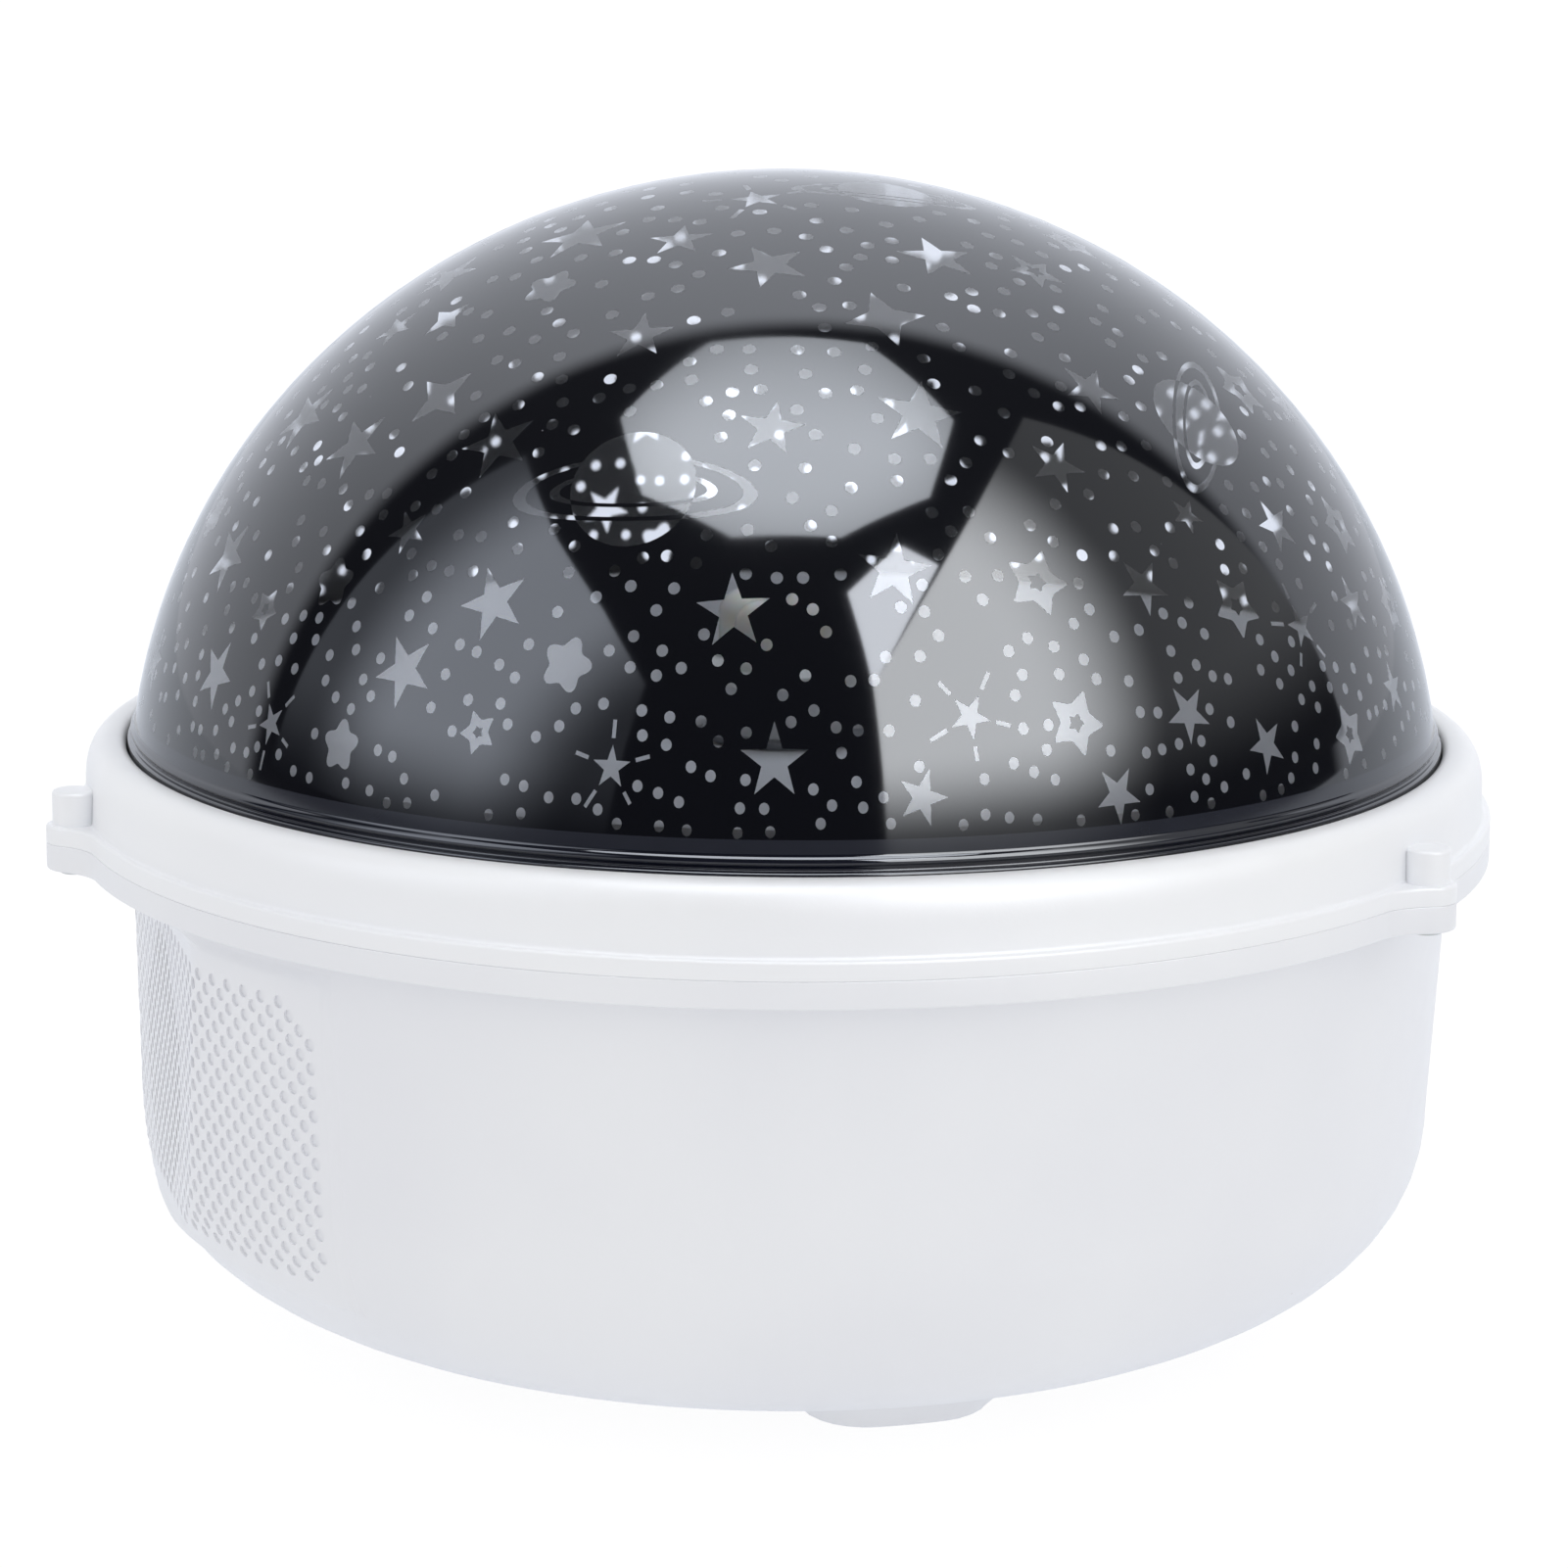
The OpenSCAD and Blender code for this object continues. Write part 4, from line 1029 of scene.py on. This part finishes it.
# Motifs in the flat sheet: kind, place to the right and to the back, turn, size
motifs = [
    ("star", -35.7, -11, -19, 4.0), ("star", -42.6, -17.9, 2, 2.9), ("star", -20.8, -15.9, 9, 4.8),
    ("star", -10.7, -22.4, 9, 3.3), ("star", -49.4, -36.9, 3, 4.6), ("star", -15.1, -39.4, 10, 3.6),
    ("star", -31.8, -49.2, 1, 4.6), ("star", -44.5, -54.9, 2, 2.9), ("star", -49.2, -71.8, 1, 4.6),
    ("star", -35.3, -69.4, 0, 4.6), ("star", -6.2, -77, 0, 4.6), ("star", -1.3, -94.6, 0, 4.7),
    ("star", -1.9, -29.3, -24, 4.2), ("star", 14.9, -24.3, -24, 4.2), ("star", 32.6, -39.4, 8, 3.6),
    ("star", 14.1, -51.1, 0, 4.8), ("star", -1.6, -54.6, 10, 3.7), ("star", 30, -52.7, 6, 3.5),
    ("star", 12.6, -71.3, 0, 4.5), ("star", 19.1, -97.2, 7, 3.6), ("star", 43.3, -62.7, 7, 3.6),
    ("star", 59.5, -40.4, 8, 3.6), ("star", 75, -36.9, 8, 3.6), ("star", 87.8, -37.2, 7, 3.6),
    ("star", 46.9, -50, 0, 2.4), ("star", 54, -74.2, 7, 3.7), ("star", 67.8, -69.5, 7, 3.7),
    ("star", 47.1, -88.6, 7, 3.7), ("star", -56.1, -22.1, 9, 4.7), ("star", -71.7, -33, 10, 4.8),
    ("star", -79.3, -47.9, 6, 4.6), ("star", -92.5, -22.9, 10, 4.5), ("star", 20.5, -1, 0, 1.8),
    ("star", 58.4, -10.8, 0, 3.5), ("four star", -36.2, -23.4, -18, 2.9),
    ("four star", -37.8, -38, -20, 4.2), ("four star", 9.9, -37.6, -21, 4.4),
    ("framed", -40.9, -83.7, 1, 2.7), ("framed", 29.1, -6.7, 36, 3.3),
    ("framed", 29.8, -68.4, 0, 4), ("framed", 38.4, -82.9, 0, 4), ("framed", 51.3, -20.2, 1, 3.9),
    ("framed", 69.6, -26.5, 0, 4), ("framed", 83, -23.8, 1, 3.9), ("framed", 56.6, -56.8, 0, 3.9),
    ("framed", 81.8, -54.8, 1, 4), ("framed", -67.4, -48.8, 3, 2.7), ("thin", 25.2, -21, 20, 3.3),
    ("burst", -23.3, -93.1, 14, 2.7), ("burst", -3.1, -13, -12, 2.7), ("burst", 24, -86.5, 15, 2.8),
    ("burst", 67.1, -50.8, 14, 2.8), ("burst", -72.2, -63.8, 19, 2.7),
    ("puffy", -24.3, -26.2, 36, 2.9), ("puffy", -27.3, -79.8, 36, 3.3),
    ("puffy", -56, -54.7, 36, 3.1), ("puffy", -73.4, -18.9, 36, 3.1),
    ("puffy", -61.9, -74.8, 39, 3.2), ("puffy", 73.4, -11.7, 36, 3),
    ("planet", -17.1, -60.5, 11.6, 1), ("planet", 46.1, -34.3, 86, 0.84),
    ("planet", 9.5, -8, -9, 0.66),
]
# The part at the back is filled with more of them, wherever one has room
motif_tries, dot_tries = 5000, 30000
shares = [share for *_rest, share in motif_kinds.values()]
random.seed(31)
for _ in range(motif_tries):
    kind = random.choices(list(motif_kinds), shares)[0]
    size = random.uniform(*motif_kinds[kind][3])
    x, y = polar(print_r * math.sqrt(random.random()), random.uniform(0, 360))
    turn = random.uniform(-20, 40)
    reach = motif_kinds[kind][1] * size
    if y - reach > 12 - 0.2 * abs(x) and math.hypot(x, y) + reach < print_r and all(
            math.hypot(x - mx, y - my) > reach + motif_kinds[k][1] * s + motif_clear
            for k, mx, my, _turn, s in motifs):
        motifs.append((kind, x, y, turn, size))

# The dots fill the print between the motifs
print_loops = [circle(0, 0, print_r, 360)]
taken = {}


def cell_of(x, y):
    return int(x // dot_gap), int(y // dot_gap)


for kind, x, y, turn, size in motifs:
    c, s = math.cos(math.radians(turn)), math.sin(math.radians(turn))
    for outline in motif_kinds[kind][0](size):
        laid = np.array([(x + a * c + b * s, y + b * c - a * s) for a, b in outline])
        fine = []
        for start, end in zip(laid, np.roll(laid, -1, 0)):
            count = max(1, round(np.linalg.norm(end - start)))
            fine += [start + (end - start) * t for t in np.linspace(0, 1, count, endpoint=False)]
        print_loops.append(fine)
        for point in fine:
            taken.setdefault(cell_of(*point), []).append((*point, dot_clear))


def has_room(x, y):
    """Whether a dot keeps its distance from all that is there already."""
    if any(math.hypot(x - mx, y - my) < motif_kinds[kind][2] * size + dot_clear
           for kind, mx, my, _turn, size in motifs):
        return False
    i, j = cell_of(x, y)
    return all(math.hypot(x - ox, y - oy) > gap for di in (-1, 0, 1) for dj in (-1, 0, 1)
               for ox, oy, gap in taken.get((i + di, j + dj), ()))


dots = 0
for _ in range(dot_tries):
    x, y = polar((print_r - dot_r) * math.sqrt(random.random()), random.uniform(0, 360))
    if dots < dot_count and has_room(x, y):
        taken.setdefault(cell_of(x, y), []).append((x, y, dot_gap))
        print_loops.append(circle(x, y, dot_r, 12))
        dots += 1

dome = Moulding()
dome_steps = 240
start_lift = math.asin((dome_start_z - dome_mid_z) / dome_b)
start_away = float(np.interp(math.degrees(start_lift), lift_table, sheet_table))
spot_step, spot_pitch = 3.4, 4.2
dome_spots = [(0.0, 0.0)]
for away in np.arange(spot_step, print_r - 1, spot_step):
    dome_spots += circle(0, 0, away, max(6, round(2 * math.pi * away / spot_pitch)))
ink_slot, window_slot, inside_slot, rim_slot, edge_slot = range(5)
dome.sheet(circle(0, 0, start_away, dome_steps),
           [[tuple(p) for p in loop] for loop in print_loops], dome_spots, form_dome,
           lambda inside: edge_slot if 0 not in inside
           else ink_slot if len(inside) % 2 else window_slot)

# Section of the foot: a bead, a groove, the rim in the collar and the skirt under it
rim_section = [
    (64.25, 60.6), (64.38, 60.38), (64.6, 60.15), (64.7, 59.85), (64.6, 59.58), (64.42, 59.32),
    (64.5, 59.1), (64.8, 59.06), (64.98, 58.92), (65.0, 58.7), (65.0, 57.9), (64.9, 57.8),
    (64, 57.8), (64, 55.8), (62.6, 55.8), (62.6, 57.7)]


def soften(outline, times):
    """Rounds an outline's corners and keeps its ends."""
    for _ in range(times):
        cut = [outline[0]]
        for (ra, ha), (rb, hb) in zip(outline, outline[1:]):
            cut += [(ra * 0.75 + rb * 0.25, ha * 0.75 + hb * 0.25),
                    (ra * 0.25 + rb * 0.75, ha * 0.25 + hb * 0.75)]
        outline = cut + [outline[-1]]
    return outline


start_r = dome_a * math.cos(start_lift)
dome.turn([(start_r, dome_start_z)] + soften(rim_section[1:], 2), upright(), dome_steps,
          rim_slot)
inner_low = math.asin((58 - dome_mid_z) / (dome_b - dome_wall))
inner_lifts = np.linspace(inner_low, math.pi / 2, 40)
dome.turn([rim_section[-1]] + [((dome_a - dome_wall) * math.cos(t),
                                dome_mid_z + (dome_b - dome_wall) * math.sin(t))
                               for t in inner_lifts], upright(), dome_steps, inside_slot)


def dome_print():
    """Glossy black ink under clear lacquer, with a little dust."""
    skin = Finish("dome_print", srgb(9, 10, 16), 0.05, ior=shell_ior)
    skin.tint(skin.specks(4.5, 0.075, 0.35), srgb(128, 130, 138))
    skin.tint(skin.specks(11, 0.13, 0.4), srgb(150, 152, 158))
    skin.polish(skin.clouds(18, 0.45, 0.75), 0.08)
    skin.relief(skin.clouds(20, 0.2, 0.8), 0.012)
    return skin.material


def maths(tree, operation, *values):
    """A maths node of values that are numbers or other nodes' results."""
    node = tree.nodes.new("ShaderNodeMath")
    node.operation = operation
    for entry, value in zip(node.inputs, values):
        if isinstance(value, bpy.types.NodeSocket):
            tree.links.new(value, entry)
        else:
            entry.default_value = value
    return node.outputs["Value"]


def blend(tree, share, first, second):
    """Goes over from one shader to another by a share."""
    mix = tree.nodes.new("ShaderNodeMixShader")
    tree.links.new(share, mix.inputs[0])
    tree.links.new(first.outputs[0], mix.inputs[1])
    tree.links.new(second.outputs[0], mix.inputs[2])
    return mix


def show(tree, shader):
    """Makes a shader the one that the surface shows."""
    end = tree.nodes.new("ShaderNodeOutputMaterial")
    tree.links.new(shader.outputs[0], end.inputs["Surface"])


def clear_shell(name, clear, rough, outside, inside, haze=0.0):
    """Clear plastic that mirrors as this many surfaces, by the side that it is seen from. A
    haze blurs a little what the viewer sees through it."""
    material = bpy.data.materials.new(name)
    material.use_nodes = True
    tree = material.node_tree
    tree.nodes.clear()
    through = tree.nodes.new("ShaderNodeBsdfTransparent")
    through.inputs["Color"].default_value = clear
    gloss = tree.nodes.new("ShaderNodeBsdfGlossy")
    gloss.inputs["Roughness"].default_value = rough
    back = tree.nodes.new("ShaderNodeNewGeometry").outputs["Backfacing"]
    fresnel = tree.nodes.new("ShaderNodeFresnel")
    tree.links.new(maths(tree, "MULTIPLY_ADD", back, 1 / shell_ior - shell_ior, shell_ior),
                   fresnel.inputs["IOR"])
    one = fresnel.outputs["Fac"]
    faces = maths(tree, "MULTIPLY_ADD", back, float(inside - outside), float(outside))
    share = maths(tree, "DIVIDE", maths(tree, "MULTIPLY", one, faces),
                  maths(tree, "MULTIPLY_ADD", one, maths(tree, "SUBTRACT", faces, 1.0), 1.0))
    if haze:
        blur = tree.nodes.new("ShaderNodeBsdfRefraction")
        blur.inputs["Color"].default_value = clear
        blur.inputs["Roughness"].default_value = haze
        blur.inputs["IOR"].default_value = 1.03
        seen = tree.nodes.new("ShaderNodeLightPath").outputs["Is Camera Ray"]
        through = blend(tree, seen, through, blur)
    show(tree, blend(tree, share, through, gloss))
    return material


def smoke(name, colour, shade, rough):
    skin = Finish(name, colour, rough, ior=shell_ior)
    skin.tint(skin.clouds(10, 0.4, 0.8), shade)
    return skin.material


dome_skins = {
    ink_slot: dome_print(),
    window_slot: clear_shell("dome_window", (0.97, 0.975, 0.985, 1), 0.05, 1.65, 1, 0.2),
    inside_slot: clear_shell("dome_inside", (0.98, 0.98, 0.99, 1), 0.08, 1, 0),
    rim_slot: smoke("smoke_rim", srgb(14, 16, 26), srgb(18, 20, 32), 0.06),
    edge_slot: smoke("smoke_edge", srgb(32, 34, 42), srgb(38, 40, 49), 0.12),
}
dome_piece = dome.piece("printed_dome", [dome_skins[slot] for slot in range(5)],
                        surface=dome_normals)
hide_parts("star_dome")
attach(dome_piece, "dome")


# --------------------------------------------------------------------- Collar
# The collar ring is the white upper half of the case. Its shoulder closes over the dome's
# rim, its flange lies on the bowl's, and a closed post over every lug takes the screw.

collar_r = 69.2
shoulder_z = 54.8
crown_r, crown_z = 66.1, 58.94
lip_r = 65.12
shoulder_n = 2.6
flange_top_z = 52.3
spigot_r = (62.44, 63.64)
spigot_z = parting_z - 2
post_r = 2.12
post_top_z = 55.6
post_edge = 0.35
collar_white = white_plastic("collar_white", srgb(241, 242, 244), srgb(238, 239, 242))

collar = Moulding()
shoulder = []
for step in range(21):
    a = math.radians(90 * step / 20)
    shoulder.append((crown_r + (collar_r - 0.1 - crown_r) * math.cos(a) ** (2 / shoulder_n),
                     shoulder_z + (crown_z - shoulder_z) * math.sin(a) ** (2 / shoulder_n)))
collar_rings = [flange_ring(parting_edge * (1 - math.sin(a)),
                            parting_z + parting_edge * (1 - math.cos(a))) for a in arc]
collar_rings += [flange_ring(flange_edge * (1 - math.cos(a)),
                             flange_top_z - flange_edge * (1 - math.sin(a))) for a in arc]
fillet = 0.35
collar_rings += [round_ring(collar_r + fillet * (1 - math.sin(a)),
                            flange_top_z + fillet * (1 - math.cos(a))) for a in arc]
lip = [(crown_r - 0.35, crown_z - 0.04), (crown_r - 0.65, crown_z - 0.16),
       (lip_r + 0.1, crown_z - 0.38), (lip_r, crown_z - 0.66), (lip_r, crown_z - 1.3),
       (lip_r + 0.6, crown_z - 1.6), (lip_r + 0.6, crown_z - 2.2)]
inner_side = [(collar_r - wall, crown_z - 3.4), (collar_r - wall, flange_top_z),
              (spigot_r[0], flange_top_z), (spigot_r[0], spigot_z), (spigot_r[1], spigot_z),
              (spigot_r[1], parting_z)]
collar_rings += [round_ring(r, z) for r, z in shoulder + lip + inner_side]
collar.join(collar_rings + [collar_rings[0]])
post_low_z = parting_z + 0.3
post_section = [(0, post_low_z), (post_r, post_low_z), (post_r, post_top_z - post_edge)]
post_section += [(post_r - post_edge * (1 - math.cos(a)),
                  post_top_z - post_edge * (1 - math.sin(a))) for a in arc]
post_section += [(0, post_top_z)]
for lug in lug_dirs:
    collar.turn(post_section, upright(*polar(lug_at, lug)), steps=40)
collar_piece = collar.piece("collar", [collar_white])
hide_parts("collar_ring")
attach(collar_piece, "base")


# ---------------------------------------------------------------- Case screws
# Three plated pan head screws go up through the lugs into the collar's posts.

dress("case_screws", screw_steel)


# --------------------------------------------------------------------- Studio
# A pale floor in an even white light. Four cloth lamps and a white wall behind the object
# show in its gloss only, and the side of the viewer is dark. A fifth, small lamp under the
# dome stands for the daylight that its windows let in.

lamp_distance = 3.0
lamp_level_z = 0.08


def facing(direction, lift):
    """Point of a lamp's edge at a direction and a height angle from the dome."""
    flat = math.cos(math.radians(lift)) * lamp_distance
    return (*polar(flat, direction), lamp_level_z + lamp_distance * math.sin(math.radians(lift)))


def along(tree, vector, axis):
    """How far a direction points along an axis."""
    node = tree.nodes.new("ShaderNodeVectorMath")
    node.operation = "DOT_PRODUCT"
    node.inputs[1].default_value = axis
    tree.links.new(vector, node.inputs[0])
    return node.outputs["Value"]


def ramp(tree, value, start, end, low, high):
    """A soft step of a value, from one level to another."""
    node = tree.nodes.new("ShaderNodeMapRange")
    node.interpolation_type = "SMOOTHSTEP"
    for entry, level in (("From Min", start), ("From Max", end), ("To Min", low), ("To Max", high)):
        node.inputs[entry].default_value = level
    tree.links.new(value, node.inputs["Value"])
    return node.outputs["Result"]


def lamp_cloth(name, power, colour, fades):
    """Glowing cloth. Each fade is an axis, where it starts and ends, and its two levels."""
    material = bpy.data.materials.new(name)
    material.use_nodes = True
    tree = material.node_tree
    tree.nodes.clear()
    place = tree.nodes.new("ShaderNodeTexCoord").outputs["Object"]
    offset = tree.nodes.new("ShaderNodeVectorMath")
    offset.operation = "SUBTRACT"
    offset.inputs[1].default_value = (0, 0, lamp_level_z)
    aim = tree.nodes.new("ShaderNodeVectorMath")
    aim.operation = "NORMALIZE"
    tree.links.new(place, offset.inputs[0])
    tree.links.new(offset.outputs["Vector"], aim.inputs[0])
    strength = power
    for axis, start, end, low, high in fades:
        strength = maths(tree, "MULTIPLY", strength, ramp(
            tree, along(tree, aim.outputs["Vector"], axis), start, end, low, high))
    glow = tree.nodes.new("ShaderNodeEmission")
    glow.inputs["Color"].default_value = (*colour, 1)
    tree.links.new(strength, glow.inputs["Strength"])
    show(tree, glow)
    return material


def soft_lamp(name, corners, power, colour, fades):
    mesh = bpy.data.meshes.new(name)
    mesh.from_pydata(corners, [], [range(len(corners))])
    mesh.materials.append(lamp_cloth(name, power, colour, fades))
    lamp = bpy.data.objects.new(name, mesh)
    bpy.context.scene.collection.objects.link(lamp)
    lamp.visible_camera = False
    lamp.visible_diffuse = False
    lamp.visible_shadow = False


soft_lamp("right_softbox", [facing(-73, 33), facing(-73, 2), facing(-25, 2), facing(24, 2),
                            facing(19, 43), facing(15, 59)],
          9.3, (0.93, 0.96, 1.0),
          [((0, 1, -0.45), -0.82, -0.42, 1, 0.075), ((0, 0, 1), 0.08, 0.36, 0.08, 1)])
soft_lamp("left_softbox", [facing(177, 55), facing(172, 2), facing(-145, 2), facing(-120, 2),
                           facing(-117, 32), facing(-131, 43), facing(-152, 50.5)],
          3.6, (0.82, 0.88, 1.0),
          [((0, 1, 0), -0.8, -0.54, 0.1, 1), ((0, 1, 0), -0.3, 0.03, 1, 0.2),
           ((0, 0, 1), 0.02, 0.3, 0.08, 1)])
soft_lamp("flash_card", [facing(-75, 50), facing(-73, 33), facing(-50, 52), facing(-57, 57)],
          12.5, (0.88, 0.92, 1.0), [((0, 0, 1), 0, 0.1, 1, 1)])
top_radius, top_back = 0.43 * lamp_distance, 0.15 * lamp_distance
top_corners = [polar(top_radius, 22.5 + 45 * k) for k in range(8)]
soft_lamp("top_softbox",
          [(x, y - top_back, lamp_level_z + lamp_distance) for x, y in top_corners],
          9.0, (0.87, 0.92, 1.0),
          [((0, -0.14, 0.99), 0.88, 0.985, 0.55, 1), ((0, 1, 0), -0.2, 0.2, 1, 0.68)])

# Daylight under the dome: a weak round lamp that is never seen itself
inside_light = bpy.data.lights.new("inside_light", "POINT")
inside_light.energy = 0.018
inside_light.color = (0.8, 0.88, 1.0)
inside_light.shadow_soft_size = 0.012
inside_lamp = bpy.data.objects.new("inside_lamp", inside_light)
inside_lamp.location = (0, 0, 0.1)
inside_lamp.visible_camera = False
inside_lamp.visible_glossy = False
inside_lamp.visible_transmission = False
bpy.context.scene.collection.objects.link(inside_lamp)


def tinted(tree, share, first, second):
    """Goes over from one colour to another by a share."""
    mix = tree.nodes.new("ShaderNodeMix")
    mix.data_type = "RGBA"
    ends = [entry for entry in mix.inputs if entry.enabled and entry.name in ("A", "B")]
    for entry, colour in zip(ends, (first, second)):
        entry.default_value = colour
    tree.links.new(share, mix.inputs["Factor"])
    return next(end for end in mix.outputs if end.enabled)


world = bpy.data.worlds.new("studio")
bpy.context.scene.world = world
world.use_nodes = True
sky = world.node_tree
sky.nodes.clear()
ray_dir = sky.nodes.new("ShaderNodeTexCoord").outputs["Generated"]
parts = sky.nodes.new("ShaderNodeSeparateXYZ")
sky.links.new(ray_dir, parts.inputs[0])
wall_level = maths(sky, "MULTIPLY_ADD", maths(sky, "POWER", parts.outputs["Z"], 3.0), 1.45, 1.2)
wall_glow = maths(sky, "MULTIPLY", wall_level,
                  ramp(sky, along(sky, ray_dir, (-0.06, 1, 0)), 0.27, 0.36, 0.04, 1.0))
even_light = ramp(sky, parts.outputs["X"], -1.0, 1.0, 0.85, 1.02)
path = sky.nodes.new("ShaderNodeLightPath")
strength = even_light
for ray, level in (("Is Glossy Ray", wall_glow), ("Is Camera Ray", 1.0),
                   ("Is Transmission Ray", 1.0)):
    chosen = sky.nodes.new("ShaderNodeMix")
    chosen.data_type = "FLOAT"
    sky.links.new(path.outputs[ray], chosen.inputs["Factor"])
    sky.links.new(strength, chosen.inputs["A"])
    if isinstance(level, float):
        chosen.inputs["B"].default_value = level
    else:
        sky.links.new(level, chosen.inputs["B"])
    strength = chosen.outputs["Result"]
white = (1, 1, 1, 1)
backdrop = sky.nodes.new("ShaderNodeBackground")
sky.links.new(tinted(sky, path.outputs["Is Glossy Ray"], white, (0.9, 0.94, 1.03, 1)),
              backdrop.inputs["Color"])
sky.links.new(strength, backdrop.inputs["Strength"])
sky_end = sky.nodes.new("ShaderNodeOutputWorld")
sky.links.new(backdrop.outputs[0], sky_end.inputs["Surface"])


def floor_material():
    """White table that glows for the viewer and in gloss, and still takes the shadow."""
    material = bpy.data.materials.new("floor_white")
    material.use_nodes = True
    tree = material.node_tree
    tree.nodes.clear()
    paint = tree.nodes.new("ShaderNodeBsdfDiffuse")
    paint.inputs["Color"].default_value = (0.85, 0.85, 0.86, 1)
    glow = tree.nodes.new("ShaderNodeEmission")
    glow.inputs["Strength"].default_value = 1.1
    path = tree.nodes.new("ShaderNodeLightPath")
    tree.links.new(tinted(tree, path.outputs["Is Glossy Ray"], white, (0.86, 0.92, 1.03, 1)),
                   glow.inputs["Color"])
    seen = maths(tree, "MAXIMUM", path.outputs["Is Camera Ray"],
                 maths(tree, "MAXIMUM", path.outputs["Is Glossy Ray"],
                       path.outputs["Is Transmission Ray"]))
    show(tree, blend(tree, ramp(tree, seen, 0.0, 1.0, 0.4, 0.8), paint, glow))
    return material


floor_mesh = bpy.data.meshes.new("floor")
half = 6.0
floor_mesh.from_pydata([(-half, -half, 0), (half, -half, 0), (half, half, 0), (-half, half, 0)],
                       [], [(0, 1, 2, 3)])
floor_mesh.materials.append(floor_material())
floor_plane = bpy.data.objects.new("floor", floor_mesh)
bpy.context.scene.collection.objects.link(floor_plane)

camera = bpy.data.cameras.new("camera")
camera.sensor_width = 36
camera.lens = 122.83
camera_pitch = 0.2146
camera_roll = 0.0077
viewer = bpy.data.objects.new("camera", camera)
viewer.matrix_world = (Matrix.Translation((0, -0.52195, 0.16671))
                       @ Matrix.Rotation(math.pi / 2 - camera_pitch, 4, "X")
                       @ Matrix.Rotation(camera_roll, 4, "Z"))
bpy.context.scene.collection.objects.link(viewer)
bpy.context.scene.camera = viewer
